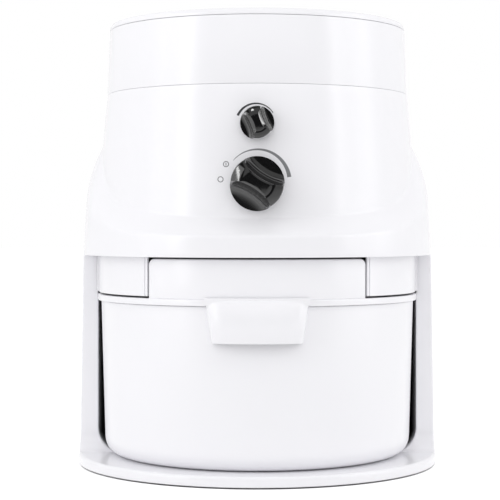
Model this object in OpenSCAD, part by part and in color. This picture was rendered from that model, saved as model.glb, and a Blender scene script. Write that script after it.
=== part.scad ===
// Electric grain mill: a round housing on two columns over a slide-out flour canister.
// Millimetres, +Z up, origin on the ground at the middle of the base, front faces -Y.

/* [Overall] */
// Height of the mill, top of the hopper lid above the ground
total_height = 355.6; // [345:0.1:370]
// Half of the depth: reach of the feed knob in front and of the cord gland behind
half_depth = 151; // [150:0.5:156]
// Wall of the large white mouldings
wall = 2.5; // [2:0.1:3]
// Gap between parts that move past each other
clearance = 0.3; // [0.25:0.05:0.4]

/* [Base and columns] */
// Radius of the base tray
base_radius = 145.4; // [144:0.1:148]
// Top of the base tray above the ground
base_top = 9; // [8:0.1:11]
// Rounding of the tray's upper edge
base_edge = 3; // [1:0.1:4]
// Radius of the columns at their feet
column_foot_radius = 145; // [143.5:0.1:145.4]
// Radius of the columns at their heads
column_head_radius = 142.5; // [142:0.1:143.5]
// Half width of the canister bay between the columns
bay_half_width = 130; // [130:0.1:131]
// Rounding between the bay's floor and its sides
bay_corner = 18; // [14:0.5:22]
// How far the column faces stand back from the middle plane, towards the front
column_face = 4; // [2:0.5:8]
// Concave rounding where a column's face meets the tray
column_fillet = 16; // [10:0.5:20]
// Thickness of the dark liner inside the bay
liner_wall = 2; // [1.5:0.1:2.5]
// Height of the rubber feet that show under the base
foot_height = 1.2; // [1:0.1:2]
// Radius of a rubber foot
foot_radius = 10; // [8:0.5:12]
// Radius of the circle that the feet stand on
foot_circle = 120; // [105:1:125]

/* [Upper housing] */
// Lower edge of the skirt
skirt_bottom = 168.7; // [166:0.1:171]
// Radius of the skirt
skirt_radius = 141.6; // [141:0.1:142.4]
// Front height of the skirt's upper edge
skirt_edge = 184.6; // [182:0.1:188]
// Front height of the crease where the shoulder meets the barrel
crease = 197.8; // [195:0.1:201]
// Radius of the barrel at the crease
barrel_foot_radius = 128.6; // [128:0.1:130]
// Radius of the barrel at the seam under the hopper
barrel_head_radius = 122.2; // [121.6:0.1:123]
// Height of the seam under the hopper ring
seam = 298; // [296:0.1:300]
// Bottom of the two cheeks beside the canister lid
cheek_bottom = 139; // [138.8:0.1:141]
// Radius of the cheeks about the canister's middle
cheek_radius = 128; // [127:0.1:129]
// Thickness of the chassis plate that closes the housing
chassis_plate = 3; // [2.5:0.1:4]

/* [Hopper] */
// Height of the seam under the lid
lid_seam = 349.5; // [347:0.1:351]
// Radius of the hopper ring under the lid
hopper_head_radius = 120.2; // [119.5:0.1:121]
// Wall of the funnel
funnel_wall = 2.2; // [2:0.1:3]
// Bottom of the funnel's throat
throat_bottom = 276; // [275.5:0.1:279]
// Height of the throat's straight part
throat_height = 8; // [6:0.5:9]
// How far the throat lies in front of the middle
throat_shift = 79; // [78.5:0.5:80]
// Inner half width of the throat
throat_half = 13; // [11:0.5:14]
// Wall of the lid
lid_wall = 2.4; // [2:0.1:3]
// Depth of the ring under the lid that seats in the hopper
plug_height = 5; // [3:0.5:8]
// Play of that ring in the hopper
plug_gap = 1.2; // [0.4:0.1:2]

/* [Canister] */
// How far the canister's middle lies in front of the base's middle
canister_shift = 8; // [7:0.5:9]
// Radius of the canister under its rim
canister_radius = 126.3; // [125:0.1:127]
// Radius of the canister at its floor
canister_foot_radius = 122.8; // [120:0.1:124]
// Rounding at the canister's floor
canister_corner = 15; // [12:0.5:20]
// Top of the canister's wall
canister_top = 132.3; // [130:0.1:133]
// Wall of the canister
canister_wall = 2.4; // [2:0.1:3]
// Radius of the canister lid's flange
flange_radius = 129; // [128.6:0.1:129.3]
// Thickness of the lid gasket
gasket_height = 1; // [0.8:0.1:1.5]
// Thickness of the canister lid's flange
flange_height = 4.2; // [3:0.1:4.4]
// Half width of the lid's raised housing
raised_half_width = 81.5; // [78:0.1:84]
// Gap round the raised housing
raised_gap = 1.5; // [1:0.1:2]
// Handle width at the rim
handle_top_width = 77; // [70:0.5:84]
// Handle width at its lower edge
handle_bottom_width = 68; // [60:0.5:74]
// Lower edge of the handle
handle_bottom = 105.6; // [100:0.1:110]
// How far the handle stands out of the canister
handle_depth = 11; // [9.5:0.1:11.5]

/* [Controls] */
// Height of the feed knob's axis, which is also the axis of the milling heads
mill_axis = 223; // [221:0.1:225]
// Radius of the feed knob
feed_knob_radius = 20.2; // [18:0.1:22]
// Direction of the feed knob's pointer, counter-clockwise from +X seen from the front
feed_pointer = 147.5; // [140:0.5:155]
// Height of the speed knob's axis
speed_axis = 268; // [266:0.1:270]
// Radius of the speed knob
speed_knob_radius = 12.6; // [11:0.1:14]
// Direction of the speed knob's pointer
speed_pointer = 112; // [90:0.5:135]
// Radius of both control shafts
shaft_radius = 3; // [2.5:0.1:3.2]
// Running clearance of the control shafts
running = 0.06; // [0.04:0.01:0.09]

/* [Mill] */
// Inner radius of the milling chamber
chamber_radius = 48; // [46:0.5:49]
// Wall of the milling chamber
chamber_wall = 3; // [2.5:0.1:3.5]
// Radius of both milling heads
head_radius = 45; // [43:0.5:45.5]
// Number of slots in each ring of teeth
head_slots = 16; // [12:2:24]
// Inner half width of the flour duct
duct_half = 15; // [13:0.5:17]

/* [Motor] */
// Radius of the stator
stator_radius = 43; // [40:0.5:45]
// Length of the stator
stator_length = 46; // [40:1:50]
// Radius of the motor shaft
motor_shaft_radius = 4; // [3.5:0.1:4.5]
// Radius of the rotor
rotor_radius = 24; // [22:0.5:26]
// Radius of the ball bearings
bearing_radius = 11; // [10:0.5:12]
// Width of the ball bearings
bearing_width = 7; // [6:0.5:8]

/* [Hidden] */
$fn = 128;
eps = 0.02;
big = 400;

// White, dark and metal finishes as the photograph shows them
white = "white";
dark = "dimgray";
black = [0.08, 0.08, 0.09];
steel = "silver";

// Heights that follow from the driving sizes
gasket_bottom = canister_top;
flange_bottom = gasket_bottom + gasket_height;
raised_top = skirt_bottom - raised_gap;
chassis_top = skirt_bottom + chassis_plate;
canister_floor = base_top + clearance;

// Feed shaft stations along Y, from the front to the back
barrel_front_y = -barrel_foot_radius;
knob_gap = 1;
knob_back_y = barrel_front_y - knob_gap;
knob_front_y = -half_depth;
switch_gap = 10.6;
switch_depth = 15;
switch_front_y = barrel_front_y + switch_gap;
switch_back_y = switch_front_y + switch_depth;
box_margin = 4.5;
box_half = throat_half + box_margin;
box_front_y = -throat_shift - box_half;
gate_distance = 31;
gate_y = box_front_y + gate_distance;
gate_thickness = 2;
box_back_y = gate_y + gate_thickness + clearance;
box_wall = 2.2;

// Milling stations along Y
cover_front_y = box_back_y + box_wall;
stator_disc_y = cover_front_y + chamber_wall;
disc_thickness = 3;
tooth_length = 11;
tooth_ring = 3;
tooth_gap = 2;
rotor_disc_y = stator_disc_y + disc_thickness + tooth_length + tooth_gap;
joint_y = stator_disc_y + disc_thickness + tooth_length / 2;
chamber_back_y = rotor_disc_y + disc_thickness + 5;
ring_pitch = 2 * (tooth_ring + tooth_gap);

// Motor stations along Y
bracket_thickness = 5;
front_bracket_y = chamber_back_y + chamber_wall;
fan_y = front_bracket_y + bracket_thickness + 3;
fan_width = 8;
stator_y = fan_y + fan_width + 4;
stator_end_y = stator_y + stator_length;
commutator_y = stator_end_y + 15;
commutator_length = 16;
rear_bracket_y = commutator_y + commutator_length + 6;
motor_end_y = rear_bracket_y + bracket_thickness + 6;
isolator_top = chassis_top + 5;

// Points of a quarter round about a centre, from one angle to another
function arc_points(centre, radius, from, to, steps = 6) =
    [for (i = [0:steps]) let (a = from + (to - from) * i / steps)
        [centre[0] + radius * cos(a), centre[1] + radius * sin(a)]];

// Turns a shape drawn on the front view so that it stands out towards the front
module facing_front(y, z) {
    translate([0, y, z]) rotate([90, 0, 0]) children();
}

// A round bar along Y from one station to another
module y_bar(radius, y_from, y_to, x = 0, z = mill_axis) {
    translate([x, y_from, z]) rotate([-90, 0, 0]) cylinder(h = y_to - y_from, r = radius);
}

// A tube along Y
module y_tube(outer, inner, y_from, y_to, x = 0, z = mill_axis) {
    difference() {
        y_bar(outer, y_from, y_to, x, z);
        y_bar(inner, y_from - 1, y_to + 1, x, z);
    }
}

// ---------------------------------------------------------------- base and columns

boss_radius = 3.4;
boss_circle = bay_half_width + liner_wall + boss_radius + 0.2;
boss_angles = [6, 60, 120, 174];
screw_radius = 2;
pilot_radius = 2.1;
screw_length = 16;
screw_head_radius = 2.9;
screw_head_height = 2;
pilot_depth = 22;

// Plan of the canister bay, larger or smaller by a margin
module bay_plan(margin = 0) {
    circle(r = bay_half_width + margin, $fn = 192);
    translate([-bay_half_width - margin, -big]) square([2 * (bay_half_width + margin), big]);
}

// Cross-section of the bay with its rounded floor corners
module bay_section(margin = 0) {
    reach = bay_half_width + margin;
    floor_z = base_top - margin;
    corner = bay_corner + margin;
    polygon(concat([[-reach, big], [reach, big]],
        arc_points([reach - corner, floor_z + corner], corner, 0, -90),
        arc_points([corner - reach, floor_z + corner], corner, -90, -180)));
}

module bay_channel(margin = 0) {
    translate([0, big / 2, 0]) rotate([90, 0, 0]) linear_extrude(big) bay_section(margin);
}

foot_lip = 1;
module base_tray() {
    difference() {
        rotate_extrude($fn = 192)
            polygon(concat([[0, foot_height], [base_radius, foot_height]],
                arc_points([base_radius - base_edge, base_top - base_edge], base_edge, 0, 90),
                [[0, base_top]]));
        translate([0, 0, foot_height - 1])
            cylinder(h = base_top - foot_height - wall + 1, r = base_radius - wall - 1, $fn = 192);
    }
    for (a = [0:45:315]) rotate(a) translate([0, -wall / 2, foot_height])
        cube([base_radius - wall, wall, base_top - foot_height - wall + eps]);
    for (a = [45:90:315]) rotate(a) translate([foot_circle, 0, foot_height])
        cylinder(h = base_top - foot_height - wall + eps, r = foot_radius);
}

module column_wall(margin) {
    rotate_extrude($fn = 192)
        polygon([[0, base_top - wall], [column_foot_radius - margin, base_top - wall],
            [column_head_radius - margin, skirt_bottom], [0, skirt_bottom]]);
}

// Concave fillets from the column faces down to the tray
module column_fillets() {
    front = -column_face;
    difference() {
        intersection() {
            translate([-big, front - column_fillet, base_top - wall])
                cube([2 * big, column_fillet + eps, column_fillet + wall]);
            cylinder(h = big, r = column_foot_radius - 0.2, $fn = 192);
        }
        translate([-big, front - column_fillet, base_top + column_fillet]) rotate([0, 90, 0])
            cylinder(h = 2 * big, r = column_fillet);
        bay_channel(0);
    }
}

module base_frame() {
    color(white) {
        difference() {
            union() {
                base_tray();
                column_fillets();
                difference() {
                    column_wall(0);
                    difference() {
                        column_wall(wall);
                        translate([-big, -column_face, -1]) cube([2 * big, wall, big]);
                    }
                    translate([-big, -big - column_face, base_top]) cube([2 * big, big, big]);
                    intersection() {
                        bay_channel(0);
                        linear_extrude(big) bay_plan(0);
                    }
                    translate([0, 0, base_top]) linear_extrude(big) intersection() {
                        bay_plan(liner_wall);
                        translate([-big, wall - column_face]) square([2 * big, big]);
                    }
                }
                for (a = boss_angles) rotate(a) translate([boss_circle, 0, base_top - wall])
                    cylinder(h = skirt_bottom - base_top + wall, r = boss_radius);
            }
            for (a = boss_angles) rotate(a) translate([boss_circle, 0, skirt_bottom - pilot_depth])
                cylinder(h = pilot_depth + 8, r = pilot_radius);
        }
    }
}

module rubber_feet() {
    color(dark) for (a = [45:90:315]) rotate(a) translate([foot_circle, 0, 0])
        cylinder(h = foot_height, r = foot_radius - foot_lip);
}

module bay_liner() {
    color(dark) intersection() {
        difference() {
            linear_extrude(skirt_bottom) bay_plan(liner_wall);
            intersection() {
                bay_channel(0);
                linear_extrude(big) bay_plan(0);
            }
        }
        translate([-big, wall - column_face, base_top]) cube([2 * big, big, skirt_bottom - base_top]);
    }
}

module frame_screws() {
    color(steel) for (a = boss_angles) rotate(a) translate([boss_circle, 0, 0]) {
        translate([0, 0, skirt_bottom - screw_length])
            cylinder(h = screw_length + chassis_plate, r = screw_radius);
        translate([0, 0, chassis_top]) cylinder(h = screw_head_height, r = screw_head_radius);
    }
}

// ---------------------------------------------------------------- chassis and housing

cheek_gap = raised_gap - 0.5;
outlet_y = (joint_y + chamber_back_y) / 2;
duct_wall = 2;
duct_half_y = (chamber_back_y - joint_y) / 2;
duct_reach = duct_half + duct_wall;
duct_reach_y = duct_half_y + duct_wall;
seal_flange = 3;
foot_spread = stator_radius - 8;
foot_block = 14;
isolator_radius = 6;

module cheek_ring() {
    translate([0, -canister_shift, 0]) difference() {
        cylinder(h = skirt_bottom, r = cheek_radius, $fn = 192);
        translate([0, 0, -1]) cylinder(h = skirt_bottom + 2, r = cheek_radius - wall, $fn = 192);
    }
}

module chassis() {
    inner_edge = raised_half_width + cheek_gap;
    color(white) difference() {
        union() {
            translate([0, 0, skirt_bottom])
                cylinder(h = chassis_plate, r = skirt_radius - wall - clearance, $fn = 192);
            intersection() {
                cheek_ring();
                for (side = [0, 1]) mirror([side, 0, 0]) translate([inner_edge, -big, cheek_bottom])
                    cube([big, big - column_face - 8, skirt_bottom - cheek_bottom + eps]);
            }
            for (side = [0, 1]) mirror([side, 0, 0]) intersection() {
                translate([inner_edge, -big, cheek_bottom])
                    cube([wall, big + 40, skirt_bottom - cheek_bottom + eps]);
                translate([0, -canister_shift, 0])
                    cylinder(h = skirt_bottom + 1, r = cheek_radius, $fn = 192);
            }
        }
        translate([-duct_reach - 0.1, outlet_y - duct_reach_y - 0.1, skirt_bottom - 1])
            cube([2 * duct_reach + 0.2, 2 * duct_reach_y + 0.2, chassis_plate + 2]);
        for (a = boss_angles) rotate(a) translate([boss_circle, 0, skirt_bottom - 1])
            cylinder(h = chassis_plate + 2, r = pilot_radius);
    }
}

// Height of the skirt's upper edge and of the crease at an angle from the front
skirt_rise = 24;
crease_rise_low = 18;
crease_rise_high = 42;
function edge_height(a) = skirt_edge + skirt_rise * pow(abs(sin(a)), 6);
function crease_height(a) = crease + crease_rise_low * pow(abs(sin(a)), 3)
    + crease_rise_high * pow(abs(sin(a)), 18);

// Radius of the barrel at a height: a slow cone that closes a little faster low down
function barrel_radius(z) = let (t = (z - crease) / (seam - crease))
    barrel_foot_radius + (barrel_head_radius - barrel_foot_radius) * pow(max(t, 0), 1.6);

// Radius of the skirt's outer face at a height, leaning in above its lower edge
skirt_lean = 0.055;
function skirt_face(z) = skirt_radius - skirt_lean * (z - skirt_bottom);

// Bulge of the shoulder between its two edges: hollow in front, full at the sides
shoulder_bulge = 3.2;
function shoulder_point(a, t) = let (
        z0 = edge_height(a),
        z1 = crease_height(a),
        r0 = skirt_face(z0),
        r1 = barrel_radius(z1),
        z = z0 + (z1 - z0) * t,
        swell = 4 * t * (1 - t) * shoulder_bulge * pow(abs(sin(a)), 6))
    [r0 + (r1 - r0) * t + swell, z];

shoulder_steps = 5;
barrel_steps = 5;
skin_sides = 96;
function skin_profile(a) = concat(
    [[skirt_face(skirt_bottom), skirt_bottom]],
    [for (i = [0:shoulder_steps]) shoulder_point(a, i / shoulder_steps)],
    [for (i = [1:barrel_steps]) let (z = crease_height(a) + (seam - crease_height(a)) * i / barrel_steps)
        [barrel_radius(z), z]]);

// The housing's skin as a closed solid, drawn in by a margin and longer at both ends
module housing_skin(margin, extra) {
    rows = shoulder_steps + barrel_steps + 2;
    last = rows - 1;
    points = [for (i = [0:skin_sides - 1]) let (a = 360 * i / skin_sides, p = skin_profile(a))
        for (j = [0:last]) let (
            r = p[j][0] - margin,
            z = p[j][1] + (j == 0 ? -extra : j == last ? extra : 0))
            [r * sin(a), -r * cos(a), z]];
    sides = [for (i = [0:skin_sides - 1], j = [0:last - 1]) let (n = (i + 1) % skin_sides)
        [i * rows + j, i * rows + j + 1, n * rows + j + 1, n * rows + j]];
    bottom = [for (i = [0:skin_sides - 1]) i * rows];
    top = [for (i = [skin_sides - 1:-1:0]) i * rows + last];
    polyhedron(points = points, faces = concat(sides, [bottom], [top]), convexity = 8);
}

vent_half = 42;
vent_bottom = crease + 8.2;
vent_height = 44;
vent_border = 6;
vent_pitch = 7;
vent_slot = 3.6;
gland_z = skirt_bottom + 11.3;
gland_radius = 6;

module upper_housing() {
    color(white) difference() {
        housing_skin(0, 0);
        housing_skin(wall, 1);
        y_bar(bushing_radius + clearance, -base_radius, -100);
        y_bar(nut_neck + clearance, -base_radius, -100, 0, speed_axis);
        translate([-vent_half, 90, vent_bottom]) cube([2 * vent_half, 60, vent_height]);
        y_bar(gland_radius + clearance, 110, 160, 0, gland_z);
    }
}

module vent_grille() {
    grille_wall = 2;
    height = vent_height + 2 * vent_border;
    outer = barrel_radius(vent_bottom + vent_height + vent_border) - wall - 0.8;
    color(dark) difference() {
        translate([0, 0, vent_bottom - vent_border]) intersection() {
            difference() {
                cylinder(h = height, r = outer, $fn = 192);
                translate([0, 0, -1]) cylinder(h = height + 2, r = outer - grille_wall, $fn = 192);
            }
            translate([-vent_half - vent_border, 90, 0]) cube([2 * (vent_half + vent_border), 60, height]);
        }
        for (i = [0:5]) translate([4 - vent_half, 90, vent_bottom + 3 + i * vent_pitch])
            cube([2 * vent_half - 8, 60, vent_slot]);
    }
}

module cord_gland() {
    seat_y = skirt_radius + 0.1;
    flange = 3;
    bore = 3.6;
    color(black) difference() {
        union() {
            y_bar(gland_radius, seat_y - wall - 8, seat_y + flange, 0, gland_z);
            y_bar(gland_radius + 1.5, seat_y - wall - 8, seat_y - wall - 5, 0, gland_z);
            y_bar(gland_radius + 3, seat_y, seat_y + flange, 0, gland_z);
            translate([0, seat_y + flange, gland_z]) rotate([-90, 0, 0])
                cylinder(h = half_depth - seat_y - flange, r1 = gland_radius, r2 = gland_radius - 1.5);
        }
        y_bar(bore, 100, 200, 0, gland_z);
    }
}

// ---------------------------------------------------------------- hopper and lid

throat_outer = throat_half + funnel_wall;
throat_top = throat_bottom + throat_height;
funnel_top = seam + 4;

module hopper() {
    ring_inner = hopper_head_radius - wall;
    color(white) difference() {
        union() {
            rotate_extrude($fn = 192) polygon([[ring_inner, funnel_top], [ring_inner, seam],
                [barrel_head_radius, seam], [hopper_head_radius, lid_seam], [ring_inner, lid_seam]]);
            hull() {
                translate([0, 0, funnel_top]) cylinder(h = 1, r = ring_inner + 0.5, $fn = 96);
                translate([-throat_outer, -throat_shift - throat_outer, throat_top])
                    cube([2 * throat_outer, 2 * throat_outer, 1]);
            }
            translate([-throat_outer, -throat_shift - throat_outer, throat_bottom])
                cube([2 * throat_outer, 2 * throat_outer, throat_height + 1]);
        }
        hull() {
            translate([0, 0, funnel_top + funnel_wall]) cylinder(h = 1, r = ring_inner, $fn = 96);
            translate([-throat_half, -throat_shift - throat_half, throat_top + funnel_wall])
                cube([2 * throat_half, 2 * throat_half, 1]);
        }
        translate([0, 0, funnel_top + 1 + funnel_wall - eps])
            cylinder(h = hopper_height, r = ring_inner, $fn = 192);
        translate([-throat_half, -throat_shift - throat_half, throat_bottom - 1])
            cube([2 * throat_half, 2 * throat_half, throat_height + 7]);
    }
}

module hopper_lid() {
    lid_bottom = lid_seam + clearance;
    edge = 3.4;
    crown = 1.2;
    plug = hopper_head_radius - wall - plug_gap;
    plug_bottom = lid_bottom - plug_height;
    ceiling = total_height - crown - lid_wall;
    color(white) difference() {
        rotate_extrude($fn = 192) polygon(concat(
            [[0, plug_bottom], [plug, plug_bottom], [plug, lid_bottom], [hopper_head_radius, lid_bottom]],
            arc_points([hopper_head_radius - edge, total_height - crown - edge], edge, 0, 80),
            [[hopper_head_radius * 0.5, total_height - 0.2], [0, total_height]]));
        translate([0, 0, plug_bottom - 1])
            cylinder(h = ceiling - plug_bottom + 1, r = plug - lid_wall, $fn = 192);
    }
}

// ---------------------------------------------------------------- feed and controls

bushing_radius = 5;
nut_neck = 4;
port_radius = 6.5;
port_offset = 11;
gate_radius = port_offset + port_radius + 2;
box_top = throat_bottom + 6;

module feed_box() {
    color(dark) difference() {
        union() {
            translate([-box_half - box_wall, box_front_y, mill_axis])
                cube([2 * (box_half + box_wall), box_back_y + box_wall - box_front_y, box_top - mill_axis]);
            y_bar(gate_radius + 1 + box_wall, box_front_y, box_back_y + box_wall);
        }
        translate([-box_half, box_front_y + box_wall, mill_axis])
            cube([2 * box_half, box_back_y - box_front_y - box_wall, box_top]);
        y_bar(gate_radius + 1, box_front_y + box_wall, box_back_y);
        y_bar(shaft_radius + running, box_front_y - 1, box_front_y + box_wall + 1);
        for (a = [-20, 0, 20]) translate([port_offset * sin(a), 0, -port_offset * cos(a)])
            y_bar(port_radius, box_back_y - 1, box_back_y + box_wall + 1);
    }
}

module feed_gate() {
    color(steel) difference() {
        y_bar(gate_radius, gate_y, gate_y + gate_thickness);
        rotate_about_axis(-120) for (a = [-20, 0, 20])
            translate([port_offset * sin(a), 0, -port_offset * cos(a)])
                y_bar(port_radius, gate_y - 1, gate_y + gate_thickness + 1);
        y_bar(shaft_radius, gate_y - 1, gate_y + gate_thickness + 1);
    }
}

// Turns a shape about the milling axis
module rotate_about_axis(a) {
    translate([0, 0, mill_axis]) rotate([0, a, 0]) translate([0, 0, -mill_axis]) children();
}

module feed_bushing() {
    back = barrel_front_y + wall + 2;
    color("goldenrod") difference() {
        union() {
            y_bar(bushing_radius, barrel_front_y, switch_front_y);
            y_bar(bushing_radius + 3, back, back + 3);
        }
        y_bar(shaft_radius + running, -base_radius, -100);
    }
}

module rotary_switch() {
    color(dark) difference() {
        union() {
            translate([-14, switch_front_y, mill_axis - 14]) cube([28, switch_back_y - switch_front_y, 28]);
            for (x = [-9, 0, 9]) translate([x - 2, switch_front_y + 6, mill_axis - 20]) cube([4, 0.8, 7]);
        }
        y_bar(shaft_radius + running, switch_front_y - 1, switch_back_y + 1);
    }
}

module feed_shaft() {
    color(steel) y_bar(shaft_radius, knob_back_y - 12, gate_y + gate_thickness);
}

// A round knob with a waisted grip bar, drawn facing +Z
module knob(radius, depth, skirt_depth, grip_half) {
    rim = radius * 0.12;
    difference() {
        union() {
            rotate_extrude() polygon(concat([[0, 0], [radius, 0]],
                arc_points([radius - rim, skirt_depth - rim], rim, 0, 90), [[0, skirt_depth]]));
            linear_extrude(depth) knob_grip(radius, grip_half);
        }
        translate([0, 0, -1]) cylinder(h = 13, r = shaft_radius);
    }
}

module knob_grip(radius, grip_half) {
    waist = radius * 1.9;
    intersection() {
        circle(r = radius - 0.6);
        difference() {
            translate([-radius, -grip_half * 1.35]) square([2 * radius, grip_half * 2.7]);
            for (side = [-1, 1]) translate([0, side * (waist + grip_half)]) circle(r = waist);
        }
    }
}

module feed_knob() {
    color(black) facing_front(knob_back_y, mill_axis) rotate(feed_pointer)
        knob(feed_knob_radius, knob_back_y - knob_front_y, 6, 6);
}

speed_back_y = -barrel_radius(speed_axis) - knob_gap;
speed_knob_depth = 17;
module speed_knob() {
    color(black) facing_front(speed_back_y, speed_axis) rotate(speed_pointer)
        knob(speed_knob_radius, speed_knob_depth, 5, 3.6);
}

speed_body_gap = 12.6;
speed_body_front = barrel_front_y + speed_body_gap;
speed_body_depth = 12;
module speed_shaft() {
    color(steel) y_bar(shaft_radius, speed_back_y - 12, speed_body_front + 6, 0, speed_axis);
}

module speed_control() {
    color(dark) difference() {
        union() {
            y_bar(8.5, speed_body_front, speed_body_front + speed_body_depth, 0, speed_axis);
            y_bar(nut_neck, speed_back_y + knob_gap, speed_body_front, 0, speed_axis);
            for (x = [-5, 0, 5]) translate([x - 1, speed_body_front + 4, speed_axis - 14])
                cube([2, 0.8, 7]);
        }
        y_bar(shaft_radius + running, -base_radius, speed_body_front + 7, 0, speed_axis);
    }
}

module speed_nut() {
    nut_y = -barrel_radius(speed_axis) + wall + 0.9;
    color(steel) difference() {
        translate([0, nut_y, speed_axis]) rotate([-90, 0, 0]) cylinder(h = 3, r = 7, $fn = 6);
        y_bar(nut_neck + 0.1, -base_radius, -100, 0, speed_axis);
    }
}

// ---------------------------------------------------------------- milling chamber

chamber_outer = chamber_radius + chamber_wall;
lug_circle = chamber_outer + 4.2;
lug_radius = 5.5;
lug_angles = [35, 145, 215, 325];
lug_front = 6;
lug_back = 8;
eye_radius = port_offset + port_radius + 1;

module chamber_lugs(y_from, y_to) {
    for (a = lug_angles)
        y_bar(lug_radius, y_from, y_to, lug_circle * cos(a), mill_axis + lug_circle * sin(a));
}

module lug_holes() {
    for (a = lug_angles)
        y_bar(pilot_radius, cover_front_y - 1, chamber_back_y + 30, lug_circle * cos(a),
            mill_axis + lug_circle * sin(a));
}

module mill_cover() {
    color(dark) difference() {
        union() {
            y_bar(chamber_outer, cover_front_y, joint_y);
            chamber_lugs(joint_y - lug_front, joint_y);
        }
        y_bar(chamber_radius, stator_disc_y, joint_y + 1);
        y_bar(eye_radius, cover_front_y - 1, stator_disc_y + 1);
        lug_holes();
    }
}

gasket_y = 1;
module mill_gasket() {
    color(black) y_tube(chamber_outer, chamber_radius, joint_y, joint_y + gasket_y);
}

module mill_chamber() {
    color(dark) difference() {
        union() {
            y_bar(chamber_outer, joint_y + gasket_y, front_bracket_y);
            chamber_lugs(joint_y + gasket_y, joint_y + gasket_y + lug_back);
        }
        y_bar(chamber_radius, joint_y, chamber_back_y);
        y_bar(motor_shaft_radius + 1, chamber_back_y - 1, front_bracket_y + 1);
        translate([2 - duct_half, joint_y + gasket_y + 2, skirt_bottom])
            cube([2 * duct_half - 4, chamber_back_y - joint_y - gasket_y - 3, chamber_outer / 2]);
        lug_holes();
    }
}

module chamber_screws() {
    color(steel) for (a = lug_angles) {
        x = lug_circle * cos(a);
        z = mill_axis + lug_circle * sin(a);
        y_bar(screw_radius, joint_y - lug_front, joint_y + lug_back, x, z);
        y_bar(3.3, joint_y - lug_front - screw_head_height, joint_y - lug_front, x, z);
    }
}

// A ring of teeth cut by radial slots
module tooth_ring(middle, y_from, y_to) {
    difference() {
        y_tube(middle + tooth_ring / 2, middle - tooth_ring / 2, y_from, y_to);
        for (i = [0:head_slots / 2 - 1]) rotate_about_axis(i * 360 / head_slots)
            translate([-big / 2, min(y_from, y_to) - 1, mill_axis - 1.2])
                cube([big, abs(y_to - y_from) + 2, 2.4]);
    }
}

stator_ring = head_radius - tooth_ring / 2;
module stationary_head() {
    disc_end = stator_disc_y + disc_thickness;
    color(steel) {
        y_tube(head_radius, eye_radius, stator_disc_y, disc_end);
        for (i = [0:1]) tooth_ring(stator_ring - i * ring_pitch, disc_end - eps, disc_end + tooth_length);
    }
}

module rotating_head() {
    color(steel) {
        y_tube(head_radius, motor_shaft_radius, rotor_disc_y, rotor_disc_y + disc_thickness);
        for (i = [0:1]) tooth_ring(stator_ring - ring_pitch / 2 - i * ring_pitch,
            rotor_disc_y - tooth_length, rotor_disc_y + eps);
        y_tube(9, motor_shaft_radius, rotor_disc_y + disc_thickness - eps, chamber_back_y - 1);
    }
}

module head_nut() {
    color(steel) difference() {
        translate([0, rotor_disc_y - 6, mill_axis]) rotate([-90, 0, 0]) cylinder(h = 6, r = 7.5, $fn = 6);
        y_bar(motor_shaft_radius, rotor_disc_y - 7, rotor_disc_y + 1);
    }
}

// Flour falls from the chamber through this duct to the canister's lid
module flour_duct() {
    duct_top = mill_axis - chamber_outer + 4;
    color(dark) difference() {
        translate([-duct_reach, outlet_y - duct_reach_y, skirt_bottom])
            cube([2 * duct_reach, 2 * duct_reach_y, duct_top - skirt_bottom]);
        translate([-duct_half, outlet_y - duct_half_y, skirt_bottom - 1])
            cube([2 * duct_half, 2 * duct_half_y, big]);
        y_bar(chamber_outer + 0.1, outlet_y - 30, outlet_y + 30);
    }
}

module outlet_seal() {
    seal_bottom = raised_top + clearance;
    seal_height = skirt_bottom - seal_bottom;
    color(black) difference() {
        translate([-duct_reach - seal_flange, outlet_y - duct_reach_y - seal_flange, seal_bottom])
            cube([2 * (duct_reach + seal_flange), 2 * (duct_reach_y + seal_flange), seal_height]);
        translate([-duct_half, outlet_y - duct_half_y, seal_bottom - 1])
            cube([2 * duct_half, 2 * duct_half_y, 10]);
    }
}

// ---------------------------------------------------------------- motor

module motor_bracket(y_from) {
    difference() {
        union() {
            intersection() {
                y_bar(stator_radius + 3, y_from, y_from + bracket_thickness);
                union() {
                    translate([-stator_radius - 5, y_from - 1, mill_axis - 14])
                        cube([2 * stator_radius + 10, bracket_thickness + 2, 28]);
                    translate([-foot_spread, y_from - 1, mill_axis - stator_radius - 5])
                        cube([2 * foot_spread, bracket_thickness + 2, stator_radius]);
                    y_bar(bearing_radius + 6, y_from - 1, y_from + bracket_thickness + 1);
                }
            }
            for (side = [-1, 1]) translate([side * foot_spread - foot_block / 2, y_from, isolator_top])
                cube([foot_block, bracket_thickness, mill_axis - isolator_top - 20]);
        }
        y_bar(bearing_radius, y_from - 1, y_from + bracket_thickness + 1);
        for (x = [-1, 1]) y_bar(pilot_radius, y_from - 1, y_from + bracket_thickness + 1, x * bolt_circle);
    }
}

bolt_circle = stator_radius - 3;
bolt_head_radius = 3.6;
bolt_head_height = 3;

module motor_front_bracket() {
    color(steel) motor_bracket(front_bracket_y);
}

module motor_rear_bracket() {
    color(steel) motor_bracket(rear_bracket_y);
}

module motor_screws() {
    color(steel) for (x = [-1, 1]) {
        y_bar(screw_radius, front_bracket_y + 1, rear_bracket_y + bracket_thickness, x * bolt_circle);
        y_bar(bolt_head_radius, rear_bracket_y + bracket_thickness,
            rear_bracket_y + bracket_thickness + bolt_head_height, x * bolt_circle);
    }
}

stator_bore = rotor_radius + 0.8;
coil_slot = 7;
coil_slot_half = 18;
coil_gap = 0.4;
module stator_core() {
    color("slategray") difference() {
        y_bar(stator_radius, stator_y, stator_end_y);
        y_bar(stator_bore, stator_y - 1, stator_end_y + 1);
        for (a = [0, 180]) rotate_about_axis(a)
            translate([-coil_slot_half, stator_y - 1, mill_axis + stator_bore + 2])
                cube([2 * coil_slot_half, stator_length + 2, coil_slot]);
        for (x = [-1, 1]) y_bar(pilot_radius, stator_y - 1, stator_end_y + 1, x * bolt_circle);
    }
}

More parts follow.
